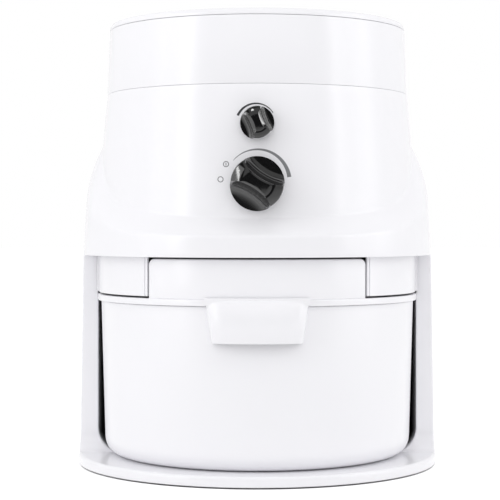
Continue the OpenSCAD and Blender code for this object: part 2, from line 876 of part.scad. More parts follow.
module field_coils() {
    reach = 7;
    half = coil_slot_half - coil_gap - 0.1;
    color("peru") for (a = [0, 180]) rotate_about_axis(a)
        translate([-half, stator_y - reach / 2, mill_axis + stator_bore + 2 + coil_gap])
            cube([2 * half, stator_length + 1.5 * reach, coil_slot - 2 * coil_gap]);
}

module motor_bearings() {
    color(steel) for (y = [front_bracket_y, rear_bracket_y])
        y_tube(bearing_radius, motor_shaft_radius + running, y, y + bearing_width);
}

brush_y = commutator_y + commutator_length / 2;
commutator_radius = 10;
holder_length = 24;
holder_half = 6;
brush_half = 4;
brush_length = 18;
module brush_holders() {
    color("saddlebrown") for (side = [0, 1]) mirror([side, 0, 0]) difference() {
        union() {
            translate([commutator_radius + 3, brush_y - holder_half, mill_axis - holder_half])
                cube([holder_length, 2 * holder_half, 2 * holder_half]);
            translate([commutator_radius + 14, brush_y, mill_axis - 5])
                cube([8, rear_bracket_y - brush_y, 10]);
        }
        translate([commutator_radius, brush_y - brush_half, mill_axis - brush_half])
            cube([holder_length, 2 * brush_half, 2 * brush_half]);
    }
}

module carbon_brushes() {
    color(black) for (side = [0, 1]) mirror([side, 0, 0])
        translate([commutator_radius + clearance, brush_y - brush_half, mill_axis - brush_half])
            cube([brush_length, 2 * brush_half, 2 * brush_half]);
}

module rubber_isolators() {
    color(black) for (y = [front_bracket_y, rear_bracket_y], side = [-1, 1])
        translate([side * foot_spread, y + bracket_thickness / 2, chassis_top])
            cylinder(h = isolator_top - chassis_top, r = isolator_radius);
}

module motor_shaft() {
    color(steel) y_bar(motor_shaft_radius, rotor_disc_y - 8, motor_end_y);
}

module rotor_core() {
    color("slategray") difference() {
        y_bar(rotor_radius, stator_y + 2, stator_end_y - 2);
        for (i = [0:11]) rotate_about_axis(i * 30) translate([-1.5, stator_y, mill_axis + rotor_radius - 5])
            cube([3, stator_length, 10]);
        y_bar(motor_shaft_radius, stator_y, stator_end_y);
    }
}

module rotor_windings() {
    color("peru") {
        y_tube(rotor_radius - 6, motor_shaft_radius, fan_y + fan_width + 0.5, stator_y + 2);
        y_tube(rotor_radius - 6, motor_shaft_radius, stator_end_y - 2, commutator_y - 1);
    }
}

module commutator() {
    color("chocolate") difference() {
        y_tube(commutator_radius, motor_shaft_radius, commutator_y - 1, commutator_y + commutator_length);
        for (i = [0:11]) rotate_about_axis(i * 30)
            translate([-0.4, commutator_y, mill_axis + commutator_radius - 1])
                cube([0.8, commutator_length + 1, 3]);
    }
}

fan_radius = 34;
fan_hub = 10;
fan_blades = 9;
module cooling_fan() {
    color(dark) {
        y_tube(fan_hub, motor_shaft_radius, fan_y, fan_y + fan_width);
        y_tube(fan_radius, motor_shaft_radius + 2, fan_y, fan_y + 1.6);
        for (i = [0:fan_blades - 1]) rotate_about_axis(i * 360 / fan_blades)
            translate([-0.8, fan_y + 1, mill_axis + fan_hub - 2])
                cube([1.6, fan_width - 2, fan_radius - fan_hub]);
    }
}

// ---------------------------------------------------------------- electronics

board_x = 30.2 - barrel_head_radius;
board_width = 50;
board_y = 44.2 - barrel_head_radius;
board_z = chassis_top + 14.3;
board_height = 62;
module control_board() {
    color("darkgreen") translate([board_x, board_y, board_z]) cube([board_width, 1.6, board_height]);
    color(black) translate([board_x + 8, board_y - 12, board_z + 30]) cube([26, 12, 22]);
    color(steel) translate([board_x + 10, board_y - 9, board_z + 6]) cube([10, 9, 16]);
    color("peru") translate([board_x + 34, board_y - 9, board_z + 14]) rotate([-90, 0, 0])
        cylinder(h = 9, r = 6);
}

module board_bracket() {
    back = board_y + 1.6;
    sheet = 2;
    bracket_width = board_width - 8;
    bracket_top = board_z + board_height - 6;
    color(dark) translate([board_x + 4, back, chassis_top]) {
        cube([bracket_width, sheet, bracket_top - chassis_top]);
        cube([bracket_width, 16, sheet]);
    }
}

// ---------------------------------------------------------------- canister

module canister_solid(margin, corner) {
    floor_z = canister_floor + margin;
    foot = canister_foot_radius - margin;
    lift = margin > 0 ? 5 : 0;
    rotate_extrude($fn = 192) polygon(concat([[0, floor_z]],
        arc_points([foot - corner, floor_z + corner], corner, -90, 0),
        [[canister_radius - margin, canister_top], [canister_radius - margin, canister_top + lift],
         [0, canister_top + lift]]));
}

// A prism with the handle's outline as seen from the front
module handle_prism(margin) {
    top = canister_top + (margin > 0 ? -margin : 0);
    translate([0, -90, 0]) rotate([90, 0, 0]) linear_extrude(80) polygon([
        [-handle_bottom_width / 2 + margin, handle_bottom - (margin > 0 ? 20 : 0)],
        [handle_bottom_width / 2 - margin, handle_bottom - (margin > 0 ? 20 : 0)],
        [handle_top_width / 2 - margin, top], [-handle_top_width / 2 + margin, top]]);
}

// The ring that the handle is cut from, full at mid height and drawn in above and below
module handle_ring(margin) {
    reach = canister_radius + handle_depth - margin;
    middle = (handle_bottom + canister_top) / 2;
    rotate_extrude($fn = 192) polygon([[canister_radius - 4, handle_bottom - 30 * (margin > 0 ? 1 : 0)],
        [reach - 2, handle_bottom - 30 * (margin > 0 ? 1 : 0)], [reach, middle], [reach - 5, canister_top],
        [canister_radius - 4, canister_top]]);
}

module canister() {
    color(white) translate([0, -canister_shift, 0]) difference() {
        union() {
            canister_solid(0, canister_corner);
            intersection() {
                handle_ring(0);
                handle_prism(0);
            }
        }
        canister_solid(canister_wall, canister_corner - canister_wall);
        difference() {
            intersection() {
                handle_ring(canister_wall);
                handle_prism(canister_wall);
            }
            canister_solid(0, canister_corner);
        }
    }
}

module lid_gasket() {
    color(dark) translate([0, -canister_shift, gasket_bottom]) difference() {
        cylinder(h = gasket_height, r = canister_radius - 0.4, $fn = 192);
        translate([0, 0, -1])
            cylinder(h = gasket_height + 2, r = canister_radius - canister_wall - 2, $fn = 192);
    }
}

raised_back = 62;
raised_radius = cheek_radius;
raised_edge = 4.4;

// The raised housing on the canister's lid, with rounded upper edges at its sides
module raised_block(margin) {
    top = raised_top - margin;
    reach = raised_half_width - margin;
    foot = flange_bottom - (margin > 0 ? 1 : 0);
    intersection() {
        translate([0, raised_back - margin, 0]) rotate([90, 0, 0]) linear_extrude(big)
            polygon(concat([[reach, foot]],
                arc_points([reach - raised_edge, top - raised_edge], raised_edge, 0, 90),
                arc_points([raised_edge - reach, top - raised_edge], raised_edge, 90, 180),
                [[-reach, foot]]));
        translate([0, -canister_shift, 0]) cylinder(h = big, r = raised_radius - margin, $fn = 192);
    }
}

inlet_half_y = duct_half_y - 1;
inlet_half = duct_half - 1;
filter_half = 30;
filter_front = 6;
filter_depth = 44;
filter_height = 16;
filter_pitch = 8;
filter_slot = 4;
filter_grid = 5;
lid_plug = canister_radius - canister_wall - 3;

module canister_lid() {
    color(white) difference() {
        union() {
            translate([0, -canister_shift, flange_bottom])
                cylinder(h = flange_height, r = flange_radius, $fn = 192);
            raised_block(0);
            translate([0, -canister_shift, flange_bottom - 5]) difference() {
                cylinder(h = 6, r = lid_plug, $fn = 192);
                translate([0, 0, -1]) cylinder(h = 8, r = lid_plug - canister_wall, $fn = 192);
            }
        }
        difference() {
            raised_block(canister_wall);
            translate([-big, filter_front - 2, flange_bottom - 1]) cube([2 * big, 2, big]);
        }
        translate([-inlet_half, outlet_y - inlet_half_y, raised_top - 10])
            cube([2 * inlet_half, 2 * inlet_half_y, 20]);
        for (i = [0:filter_grid - 1])
            translate([-filter_half + 6, filter_front + 5 + i * filter_pitch, raised_top - 10])
                cube([2 * filter_half - 12, filter_slot, 20]);
    }
}

module foam_filter() {
    color("gainsboro") translate([-filter_half, filter_front, raised_top - canister_wall - filter_height])
        cube([2 * filter_half, filter_depth, filter_height]);
}

module filter_cap() {
    cap_top = raised_top - canister_wall - filter_height;
    color(dark) difference() {
        translate([-raised_half_width + canister_wall, filter_front, cap_top - 2])
            cube([2 * (raised_half_width - canister_wall), filter_depth + 4, 2]);
        for (i = [0:filter_grid - 1])
            translate([-filter_half + 4, filter_front + 5 + i * filter_pitch, cap_top - 3])
                cube([2 * filter_half - 8, filter_slot, 4]);
    }
}

cup_radius = 30;
cup_height = 44;
cup_wall = 2;
module separator_cup() {
    cup_top = raised_top - canister_wall;
    color(white) translate([0, outlet_y - 6, 0]) difference() {
        translate([0, 0, cup_top - cup_height]) cylinder(h = cup_height, r = cup_radius);
        translate([0, 0, cup_top - cup_height + cup_wall])
            cylinder(h = cup_height, r = cup_radius - cup_wall);
        for (a = [0:60:300]) rotate(a) translate([cup_radius - 8, -6, cup_top - cup_height + 8])
            cube([16, 12, 14]);
    }
}

base_frame();
rubber_feet();
bay_liner();
frame_screws();
chassis();
upper_housing();
hopper();
hopper_lid();
feed_box();
feed_bushing();
rotary_switch();
speed_control();
speed_nut();
mill_cover();
mill_chamber();
mill_gasket();
stationary_head();
chamber_screws();
flour_duct();
outlet_seal();
motor_front_bracket();
motor_rear_bracket();
motor_screws();
stator_core();
field_coils();
brush_holders();
carbon_brushes();
motor_bearings();
rubber_isolators();
control_board();
board_bracket();
vent_grille();
cord_gland();
canister();
lid_gasket();
canister_lid();
separator_cup();
foam_filter();
filter_cap();
feed_knob();
feed_shaft();
feed_gate();
speed_knob();
speed_shaft();
motor_shaft();
rotor_core();
rotor_windings();
commutator();
cooling_fan();
rotating_head();
head_nut();
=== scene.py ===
"""Looks of an electric grain mill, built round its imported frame."""

import logging
from dataclasses import dataclass
from enum import Enum
from math import acos, asin, copysign, cos, pi, radians, sin, sqrt, tan
from typing import Any, Callable, Sequence

import bmesh
import bpy
from mathutils import Matrix, Vector


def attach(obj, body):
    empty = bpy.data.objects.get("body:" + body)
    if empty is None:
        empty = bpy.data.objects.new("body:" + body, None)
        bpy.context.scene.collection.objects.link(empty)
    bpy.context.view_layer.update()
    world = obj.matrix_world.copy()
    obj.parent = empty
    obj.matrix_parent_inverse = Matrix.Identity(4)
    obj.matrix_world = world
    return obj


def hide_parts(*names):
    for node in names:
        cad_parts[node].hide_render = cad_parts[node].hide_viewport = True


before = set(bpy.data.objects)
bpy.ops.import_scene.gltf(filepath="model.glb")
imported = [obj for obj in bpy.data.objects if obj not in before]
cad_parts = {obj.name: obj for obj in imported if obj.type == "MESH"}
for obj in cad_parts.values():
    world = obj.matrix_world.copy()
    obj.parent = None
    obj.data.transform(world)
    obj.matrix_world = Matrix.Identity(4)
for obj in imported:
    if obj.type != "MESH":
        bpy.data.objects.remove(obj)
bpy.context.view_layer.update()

LOG = logging.getLogger("mill")
MILLIMETRE = 0.001
Point2 = tuple[float, float]
Point3 = tuple[float, float, float]
Colour = tuple[float, float, float]
EdgeTest = Callable[[bmesh.types.BMEdge], bool]

MILL_AXIS = 223.0
"""Height of the axis that the motor, the heads and the feed knob share."""
MERGE = 0.0005
"""Points closer than this are one."""
LONGEST_CUT = 0.48
"""Share of a stretch that the bend at one of its ends may take."""


# --- finishes


class Val:
    """A value on a shader's wire. Arithmetic on it adds Math nodes."""

    def __init__(self, graph: "Graph", socket: bpy.types.NodeSocket | None) -> None:
        """Keeps the graph and the output socket."""
        self.graph = graph
        self.socket = socket

    def math(self, operation: str, *others: "Val | float") -> "Val":
        """Adds a Math node that starts from this value.

        Args:
            operation: Name of the node's operation.
            others: Its further inputs in order.

        Returns:
            The node's result.
        """
        return self.graph.node("Math", {"operation": operation}, dict(enumerate((self, *others))))

    def __add__(self, other: "Val | float") -> "Val":
        """Sum."""
        return self.math("ADD", other)

    def __sub__(self, other: "Val | float") -> "Val":
        """Difference."""
        return self.math("SUBTRACT", other)

    def __rsub__(self, other: float) -> "Val":
        """A number less this value."""
        return self * -1.0 + other

    def __mul__(self, other: "Val | float") -> "Val":
        """Product."""
        return self.math("MULTIPLY", other)

    def __pow__(self, other: "Val | float") -> "Val":
        """Power."""
        return self.math("POWER", other)

    __radd__ = __add__
    __rmul__ = __mul__

    def step(self, low: float, high: float) -> "Val":
        """Runs from 0 at low to 1 at high, with soft ends.

        Args:
            low: Value that gives 0.
            high: Value that gives 1.

        Returns:
            The mask.
        """
        ends = {"Value": self, "From Min": low, "From Max": high}
        return self.graph.node("MapRange", {"interpolation_type": "SMOOTHSTEP"}, ends)


class Graph:
    """The node tree of one material or of the world."""

    def __init__(self, owner: bpy.types.Material | bpy.types.World) -> None:
        """Turns the owner's nodes on and empties its tree."""
        owner.use_nodes = True
        self.tree = owner.node_tree
        self.tree.nodes.clear()

    def node(self, kind: str, settings: dict[str, Any], inputs: dict[Any, Any], output: int | str = 0) -> Val:
        """Adds a node.

        Args:
            kind: The node's type, without the word that all types start with.
            settings: Its own settings, which are set first.
            inputs: Numbers, colours or values for its sockets.
            output: Which of its outputs is asked for.

        Returns:
            The output's value, empty for a node that has none.
        """
        made = self.tree.nodes.new("ShaderNode" + kind)
        for name, value in settings.items():
            setattr(made, name, value)
        for name, value in inputs.items():
            if isinstance(value, Val):
                self.tree.links.new(value.socket, made.inputs[name])
            else:
                made.inputs[name].default_value = value
        return Val(self, made.outputs[output] if len(made.outputs) else None)

    def place(self, stretch: Point3 = (1, 1, 1), centre: Point3 = (0, 0, 0)) -> Val:
        """Object coordinates, moved and stretched.

        Args:
            stretch: Factor along each axis.
            centre: Point in metres that becomes the origin.

        Returns:
            The coordinates.
        """
        spot = self.node("TexCoord", {}, {}, "Object")
        moved = self.node("VectorMath", {"operation": "SUBTRACT"}, {0: spot, 1: centre})
        return self.node("VectorMath", {"operation": "MULTIPLY"}, {0: moved, 1: stretch})

    def noise(self, size: float, detail: float = 2.0, stretch: Point3 = (1, 1, 1)) -> Val:
        """Soft noise about 0.5.

        Args:
            size: Size of its patches in millimetres.
            detail: Levels of finer noise.
            stretch: Factor along each axis.

        Returns:
            The noise.
        """
        inputs = {"Vector": self.place(stretch), "Scale": 1 / (size * MILLIMETRE), "Detail": detail}
        return self.node("TexNoise", {}, inputs)

    def cells(self, size: float, feature: str) -> Val:
        """Cells of foam or of a circuit's copper.

        Args:
            size: Width of a cell in millimetres.
            feature: What is measured in a cell.

        Returns:
            The distance.
        """
        inputs = {"Vector": self.place(), "Scale": 1 / (size * MILLIMETRE)}
        return self.node("TexVoronoi", {"feature": feature}, inputs, "Distance")

    def along(self, axis: str, centre: Point3 = (0, 0, 0)) -> Val:
        """One object coordinate, in metres."""
        return self.node("SeparateXYZ", {}, {0: self.place((1, 1, 1), centre)}, axis)

    def away(self, first: str, second: str, centre: Point3 = (0, 0, 0)) -> Val:
        """Distance in metres from the line through a point that is square to two axes."""
        across, up = self.along(first, centre), self.along(second, centre)
        return (across * across + up * up) ** 0.5

    def stripes(self, value: Val, pitch: float) -> Val:
        """Even stripes.

        Args:
            value: A length in metres that runs across them.
            pitch: Their pitch in millimetres.

        Returns:
            A wave from 0 to 1.
        """
        wave = (value * (2 * pi / (pitch * MILLIMETRE))).math("SINE")
        return wave * 0.5 + 0.5

    def blend(self, share: Val | float, first: Colour | Val, second: Colour | Val) -> Val:
        """Mixes two colours.

        Args:
            share: Share of the second.
            first: Colour at 0.
            second: Colour at 1.

        Returns:
            The mixed colour.
        """
        ends = [(*c, 1) if isinstance(c, tuple) else c for c in (first, second)]
        return self.node("Mix", {"data_type": "RGBA"}, {0: share, 6: ends[0], 7: ends[1]}, 2)


Pattern = Enum(
    "Pattern", "MOULDED POLISHED BRUSHED TURNED CAST LAMINATED WOUND CIRCUIT PORES PRINTED SHADED"
)
"""Fine structure of a finish."""

GRAIN = {
    Pattern.MOULDED: ((38, 3), (0.55, 3)),
    Pattern.POLISHED: ((46, 1), (3.2, 1)),
    Pattern.CAST: ((4, 5), (0.8, 5)),
    Pattern.PRINTED: ((1.2, 4), (0.3, 2)),
}
"""Patch size and detail of the plain patterns: for the colour, and for the relief."""


@dataclass(frozen=True)
class Finish:
    """One finish of the mill and the record's slot it stands for."""

    slot: str
    colour: Colour
    shade: Colour
    roughness: float
    pattern: Pattern
    depth: float
    metallic: float = 0.0
    coat: float = 0.0
    uneven: float = 0.08
    name: str = ""
    gleam: float = 0.5
    polish: float = 0.06

    def structure(self, graph: Graph) -> tuple[Val, Val]:
        """The finish's fine structure.

        Args:
            graph: The material's graph.

        Returns:
            A mask for the colour and a height, both from 0 to 1.
        """
        if self.pattern is Pattern.BRUSHED:
            streak = graph.noise(0.5, 3, (1, 0.03, 1))
            return graph.noise(6, 4), streak
        if self.pattern is Pattern.TURNED:
            radius = graph.away("X", "Z", (0, 0, MILL_AXIS * MILLIMETRE))
            rings = graph.stripes(radius, 0.9) * 0.6 + graph.noise(0.6, 3) * 0.4
            return graph.noise(5, 4), rings
        if self.pattern is Pattern.LAMINATED:
            sheets = graph.stripes(graph.along("Y"), 0.9)
            return graph.noise(3, 4) * 0.5 + sheets * 0.5, sheets
        if self.pattern is Pattern.WOUND:
            wires = graph.stripes(graph.along("X") + graph.along("Z") * 0.6, 1.1)
            return graph.noise(2.2, 3), wires
        if self.pattern is Pattern.CIRCUIT:
            tracks = graph.cells(5, "DISTANCE_TO_EDGE").step(0.05, 0.09)
            return tracks, tracks
        if self.pattern is Pattern.PORES:
            # Painted shade: the pore centres, where the relief dips, are darkened.
            pores = graph.cells(1.3, "F1").step(0.1, 0.75)
            return pores, pores
        # Painted shade along Y: pale grey at the bay's mouth, dark deeper in.
        if self.pattern is Pattern.SHADED:
            return graph.along("Y").step(0.002, 0.02), graph.noise(0.55, 3)
        patches, relief = GRAIN[self.pattern]
        return graph.noise(*patches), graph.noise(*relief)

    def material(self) -> bpy.types.Material:
        """Makes the material, or gives the one already made.

        Returns:
            The material.
        """
        title = "finish_" + (self.name or self.slot)
        if title in bpy.data.materials:
            return bpy.data.materials[title]
        made = bpy.data.materials.new(title)
        graph = Graph(made)
        mask, height = self.structure(graph)
        wipe = graph.noise(9, 4)
        surface = graph.node(
            "BsdfPrincipled",
            {},
            {
                "Base Color": graph.blend(mask, self.shade, self.colour),
                "Roughness": (wipe - 0.5) * self.uneven + self.roughness,
                "Metallic": self.metallic,
                "Specular IOR Level": self.gleam,
                "Coat Weight": self.coat,
                "Coat Roughness": self.polish,
                "Normal": graph.node("Bump", {}, {"Distance": self.depth * MILLIMETRE, "Height": height}),
            },
        )
        graph.node("OutputMaterial", {}, {0: surface})
        return made


WHITE = Finish(
    "white_plastic", (0.908, 0.904, 0.934), (0.896, 0.892, 0.922), 0.25, Pattern.POLISHED, 0.003,
    uneven=0.015, gleam=0.6,
)
SATIN = Finish(
    "white_plastic", (0.79, 0.795, 0.8), (0.76, 0.765, 0.77), 0.42, Pattern.MOULDED, 0.01,
    name="white_inside",
)
DARK = Finish("dark_plastic", (0.028, 0.029, 0.031), (0.02, 0.021, 0.023), 0.45, Pattern.MOULDED, 0.02)
# Painted shade: the lining is dark where the deep bay lies in shade, and a paler grey near its mouth stands
# in for the columns' shaded inner faces.
PAINTED_SHADE_LINER = Finish(
    "dark_plastic", (0.028, 0.029, 0.031), (0.42, 0.425, 0.43), 0.45, Pattern.SHADED, 0.02,
    name="bay_painted_shade",
)
GLOSS = Finish(
    "black_gloss", (0.003, 0.003, 0.0035), (0.002, 0.002, 0.0024), 0.09, Pattern.POLISHED, 0.002,
    coat=1.0, uneven=0.02,
)
RUBBER = Finish("black_rubber", (0.03, 0.03, 0.031), (0.018, 0.018, 0.019), 0.72, Pattern.MOULDED, 0.03)
ZINC = Finish("zinc_steel", (0.62, 0.62, 0.6), (0.48, 0.49, 0.5), 0.36, Pattern.BRUSHED, 0.01, 1.0)
STAINLESS = Finish("stainless", (0.66, 0.65, 0.64), (0.5, 0.5, 0.5), 0.26, Pattern.TURNED, 0.01, 1.0)
CAST = Finish("cast_alloy", (0.56, 0.56, 0.57), (0.4, 0.4, 0.41), 0.5, Pattern.CAST, 0.06, 1.0)
LAMINATION = Finish("lamination", (0.3, 0.31, 0.33), (0.14, 0.145, 0.15), 0.5, Pattern.LAMINATED, 0.05, 1.0)
COPPER = Finish("copper", (0.62, 0.22, 0.08), (0.36, 0.1, 0.035), 0.34, Pattern.WOUND, 0.25, 0.6, 0.5)
BRASS = Finish("brass", (0.7, 0.5, 0.2), (0.5, 0.34, 0.12), 0.32, Pattern.TURNED, 0.01, 1.0)
RESIN = Finish("brown_resin", (0.2, 0.075, 0.03), (0.12, 0.045, 0.02), 0.5, Pattern.CAST, 0.02)
CARBON = Finish("carbon", (0.035, 0.035, 0.037), (0.015, 0.015, 0.016), 0.6, Pattern.CAST, 0.03)
BOARD = Finish("board_green", (0.01, 0.09, 0.035), (0.03, 0.2, 0.07), 0.34, Pattern.CIRCUIT, 0.03, coat=0.4)
# Grey foam, with painted shade darkening its pores.
FOAM = Finish("foam", (0.5, 0.5, 0.49), (0.08, 0.08, 0.08), 0.92, Pattern.PORES, 0.5)
PRINT = Finish(
    "dark_plastic", (0.035, 0.036, 0.04), (0.05, 0.052, 0.056), 0.4, Pattern.PRINTED, 0.004,
    name="scale_print",
)
GREY_PRINT = Finish(
    "dark_plastic", (0.2, 0.205, 0.215), (0.24, 0.245, 0.255), 0.4, Pattern.PRINTED, 0.004,
    name="scale_print_grey",
)
MARK = Finish(
    "white_plastic", (0.78, 0.78, 0.78), (0.7, 0.7, 0.7), 0.4, Pattern.PRINTED, 0.004, name="knob_mark",
)


# --- meshes


def bend(points: Sequence[Point2], cuts: Sequence[float], steps: int = 5) -> list[Point2]:
    """Turns the corners of an open line into soft bends.

    Args:
        points: The line.
        cuts: How far each corner is cut back, 0 for a sharp one.
        steps: Parts of each bend.

    Returns:
        The line with its bends, with as many points whatever its lengths.
    """
    line: list[Point2] = []
    last = len(points) - 1
    for i, (point, cut) in enumerate(zip(points, cuts)):
        if cut <= 0 or i in (0, last):
            line.append(tuple(point))
            continue
        here, before, after = Vector(point), Vector(points[i - 1]), Vector(points[i + 1])
        back, ahead = before - here, after - here
        reach = min(cut, LONGEST_CUT * back.length, LONGEST_CUT * ahead.length)
        start, end = here + back.normalized() * reach, here + ahead.normalized() * reach
        for t in spread(0, 1, steps):
            line.append(tuple(start * (1 - t) ** 2 + here * (2 * t * (1 - t)) + end * t**2))
    return line


def spread(first: float, last: float, parts: int) -> list[float]:
    """Even stations from first to last, both included."""
    return [first + (last - first) * i / parts for i in range(parts + 1)]


def round_about(radius: float, angle: float, z: float) -> Point3:
    """Point at a radius, an angle from the front and a height."""
    return radius * sin(angle), -radius * cos(angle), z


def arc(radius: float, angles: Sequence[float], y: float = 0.0) -> list[Point2]:
    """Points of an arc in plan, at angles from the front."""
    return [(radius * sin(a), y - radius * cos(a)) for a in angles]


def longer(axis: int, least: float) -> EdgeTest:
    """Chooses the edges that run further than a length along an axis."""
    return lambda e: abs(e.verts[0].co[axis] - e.verts[1].co[axis]) > least


def link(name: str, data: bpy.types.ID) -> bpy.types.Object:
    """Makes an object and puts it in the scene."""
    made = bpy.data.objects.new(name, data)
    bpy.context.scene.collection.objects.link(made)
    return made


def discard(work: bpy.types.Object) -> None:
    """Deletes an object and its mesh."""
    mesh = work.data
    bpy.data.objects.remove(work)
    bpy.data.meshes.remove(mesh)


class Facing(Enum):
    """Where a turned form's axis points."""

    UP = 0
    FRONT = 90
    BACK = -90


class Form:
    """A mesh in the making, in millimetres."""

    def __init__(self) -> None:
        """Starts empty."""
        self.bm = bmesh.new()

    def grid(self, columns: int, rows: int, place: Callable[[int, int], Point3]) -> "Form":
        """Adds a sheet of quads and puts each of its corners in place.

        Args:
            columns: Quads across.
            rows: Quads up.
            place: Gives the point of a column and a row.

        Returns:
            The form.
        """
        made = bmesh.ops.create_grid(self.bm, x_segments=columns, y_segments=rows, size=1)["verts"]
        for vert in made:
            vert.co = place(round((vert.co.x + 1) / 2 * columns), round((vert.co.y + 1) / 2 * rows))
        bmesh.ops.remove_doubles(self.bm, verts=made, dist=MERGE)
        return self

    def lathe(self, profile: Sequence[Point2], sides: int = 160, ring: bool = False) -> "Form":
        """Spins a line of (radius, height) points round +Z.

        Args:
            profile: The line. An open one starts and ends on the axis.
            sides: Steps of the spin.
            ring: Joins the line's ends.

        Returns:
            The form.
        """
        verts = [self.bm.verts.new((r, 0, z)) for r, z in profile]
        pairs = list(zip(verts, verts[1:])) + ([(verts[-1], verts[0])] if ring else [])
        edges = [self.bm.edges.new(pair) for pair in pairs]
        bmesh.ops.spin(
            self.bm, geom=verts + edges, cent=(0, 0, 0), axis=(0, 0, 1),
            angle=2 * pi, steps=sides, use_merge=True, use_duplicate=False,
        )
        bmesh.ops.remove_doubles(self.bm, verts=self.bm.verts[:], dist=MERGE)
        return self

    def rod(self, radius: float, low: float, high: float, sides: int) -> "Form":
        """Adds a plain round rod."""
        return self.lathe([(0, low), (radius, low), (radius, high), (0, high)], sides)

    def prism(self, outline: Sequence[Point2], low: float, high: float) -> "Form":
        """Extrudes an outline in plan from one height to another.

        Args:
            outline: Its corners in order.
            low: Lower height.
            high: Upper height.

        Returns:
            The form.
        """
        face = self.bm.faces.new([self.bm.verts.new((x, y, low)) for x, y in outline])
        made = bmesh.ops.extrude_face_region(self.bm, geom=[face])["geom"]
        top = [g for g in made if isinstance(g, bmesh.types.BMVert)]
        bmesh.ops.translate(self.bm, verts=top, vec=(0, 0, high - low))
        self.bm.faces.ensure_lookup_table()
        return self

    def box(self, low: Point3, high: Point3) -> "Form":
        """Adds a block between two corners."""
        (x, y, z), (right, back, top) = low, high
        return self.prism([(x, y), (right, y), (right, back), (x, back)], z, top)

    def at(self, x: float, y: float, z: float, facing: Facing = Facing.UP, turn: float = 0.0) -> "Form":
        """Turns the form about its axis, points it and shifts it.

        Args:
            x: Shift along X.
            y: Shift along Y.
            z: Shift along Z.
            facing: Where +Z goes.
            turn: Degrees about the form's own axis, first.

        Returns:
            The form.
        """
        spin = Matrix.Rotation(radians(turn), 4, "Z")
        point = Matrix.Rotation(radians(facing.value), 4, "X")
        matrix = Matrix.Translation((x, y, z)) @ point @ spin
        bmesh.ops.transform(self.bm, matrix=matrix, verts=self.bm.verts[:])
        return self

    def add(self, other: "Form") -> "Form":
        """Takes in another form."""
        mesh = other.mesh("taken")
        self.bm.from_mesh(mesh)
        bpy.data.meshes.remove(mesh)
        return self

    def ring(self, circle: float, bearings: Sequence[float], make: Callable[[], "Form"]) -> "Form":
        """Adds a part at each bearing of a circle round the mill's middle.

        Args:
            circle: The circle's radius.
            bearings: Degrees from +X.
            make: Makes the part, upright in the middle.

        Returns:
            The form.
        """
        for bearing in bearings:
            angle = radians(bearing)
            self.add(make().at(circle * cos(angle), circle * sin(angle), 0).straighten())
        return self

    def straighten(self) -> "Form":
        """Merges doubles and points the faces outwards."""
        bmesh.ops.remove_doubles(self.bm, verts=self.bm.verts[:], dist=MERGE)
        bmesh.ops.recalc_face_normals(self.bm, faces=self.bm.faces[:])
        return self

    def cap(self) -> "Form":
        """Closes open ends with a face each and points the faces outwards."""
        rims = [e for e in self.bm.edges if e.is_boundary]
        bmesh.ops.holes_fill(self.bm, edges=rims, sides=0)
        return self.straighten()

    def away_from(self, point: Point3) -> "Form":
        """Points the faces of an open sheet away from a point.

        Args:
            point: A point on the sheet's hollow side.

        Returns:
            The form.
        """
        bmesh.ops.recalc_face_normals(self.bm, faces=self.bm.faces[:])
        heart = Vector(point)
        lean = sum(f.normal.dot(f.calc_center_median() - heart) * f.calc_area() for f in self.bm.faces)
        if lean < 0:
            bmesh.ops.reverse_faces(self.bm, faces=self.bm.faces[:])
        return self

    def mesh(self, name: str) -> bpy.types.Mesh:
        """The form as a mesh, still in millimetres."""
        mesh = bpy.data.meshes.new(name)
        self.bm.to_mesh(mesh)
        return mesh

    def modify(self, kind: str, **settings: Any) -> "Form":
        """Runs one modifier over the form.

        Args:
            kind: The modifier's type.
            settings: Its settings.

        Returns:
            The form.
        """
        work = link("work", self.mesh("work"))
        modifier = work.modifiers.new("step", kind)
        for name, value in settings.items():
            setattr(modifier, name, value)
        depsgraph = bpy.context.evaluated_depsgraph_get()
        result = bpy.data.meshes.new_from_object(work.evaluated_get(depsgraph))
        self.bm.clear()
        self.bm.from_mesh(result)
        discard(work)
        bpy.data.meshes.remove(result)
        return self

    def thicken(self, wall: float) -> "Form":
        """Gives an open sheet a wall behind its face."""
        return self.modify("SOLIDIFY", thickness=wall, offset=-1.0, use_even_offset=True)

    def soften(self, width: float, segments: int = 3, angle: float = 32.0) -> "Form":
        """Rounds every edge sharper than an angle."""
        return self.modify(
            "BEVEL", width=width, segments=segments, limit_method="ANGLE",
            angle_limit=radians(angle), profile=0.5, use_clamp_overlap=True,
        )

    def carve(self, cutter: "Form") -> "Form":
        """Cuts another closed form out of this one."""
        tool = link("tool", cutter.straighten().mesh("tool"))
        self.straighten().modify("BOOLEAN", operation="DIFFERENCE", solver="EXACT", object=tool)
        discard(tool)
        return self

    def round_edges(self, chosen: EdgeTest, width: float, segments: int = 5) -> "Form":
        """Rounds chosen edges.

        Args:
            chosen: Says whether an edge is rounded.
            width: How far it is cut back.
            segments: Parts of the rounding.

        Returns:
            The form.
        """
        self.bm.normal_update()
        edges = [e for e in self.bm.edges if len(e.link_faces) == 2 and chosen(e)]
        bmesh.ops.bevel(
            self.bm, geom=edges, offset=width, offset_type="OFFSET", segments=segments,
            profile=0.5, affect="EDGES", clamp_overlap=True, material=-1,
        )
        return self

    def piece(self, name: str, finish: Finish, body: str, *nodes: str, sharp: float = 38.0) -> None:
        """Finishes the form as a piece of the mill.

        Args:
            name: The piece's name.
            finish: What it is made of.
            body: CAD body that it moves with.
            nodes: CAD nodes that it stands for.
            sharp: Edges over this angle stay sharp.
        """
        bmesh.ops.scale(self.bm, vec=(MILLIMETRE,) * 3, verts=self.bm.verts[:])
        mesh = self.mesh(name)
        self.bm.free()
        mesh.shade_smooth()
        mesh.set_sharp_from_angle(angle=radians(sharp))
        mesh.materials.append(finish.material())
        made = link(name, mesh)
        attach(made, body)
        if nodes:
            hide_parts(*nodes)
        LOG.info("%s: %d faces on %s", name, len(mesh.polygons), body)


# --- base and columns


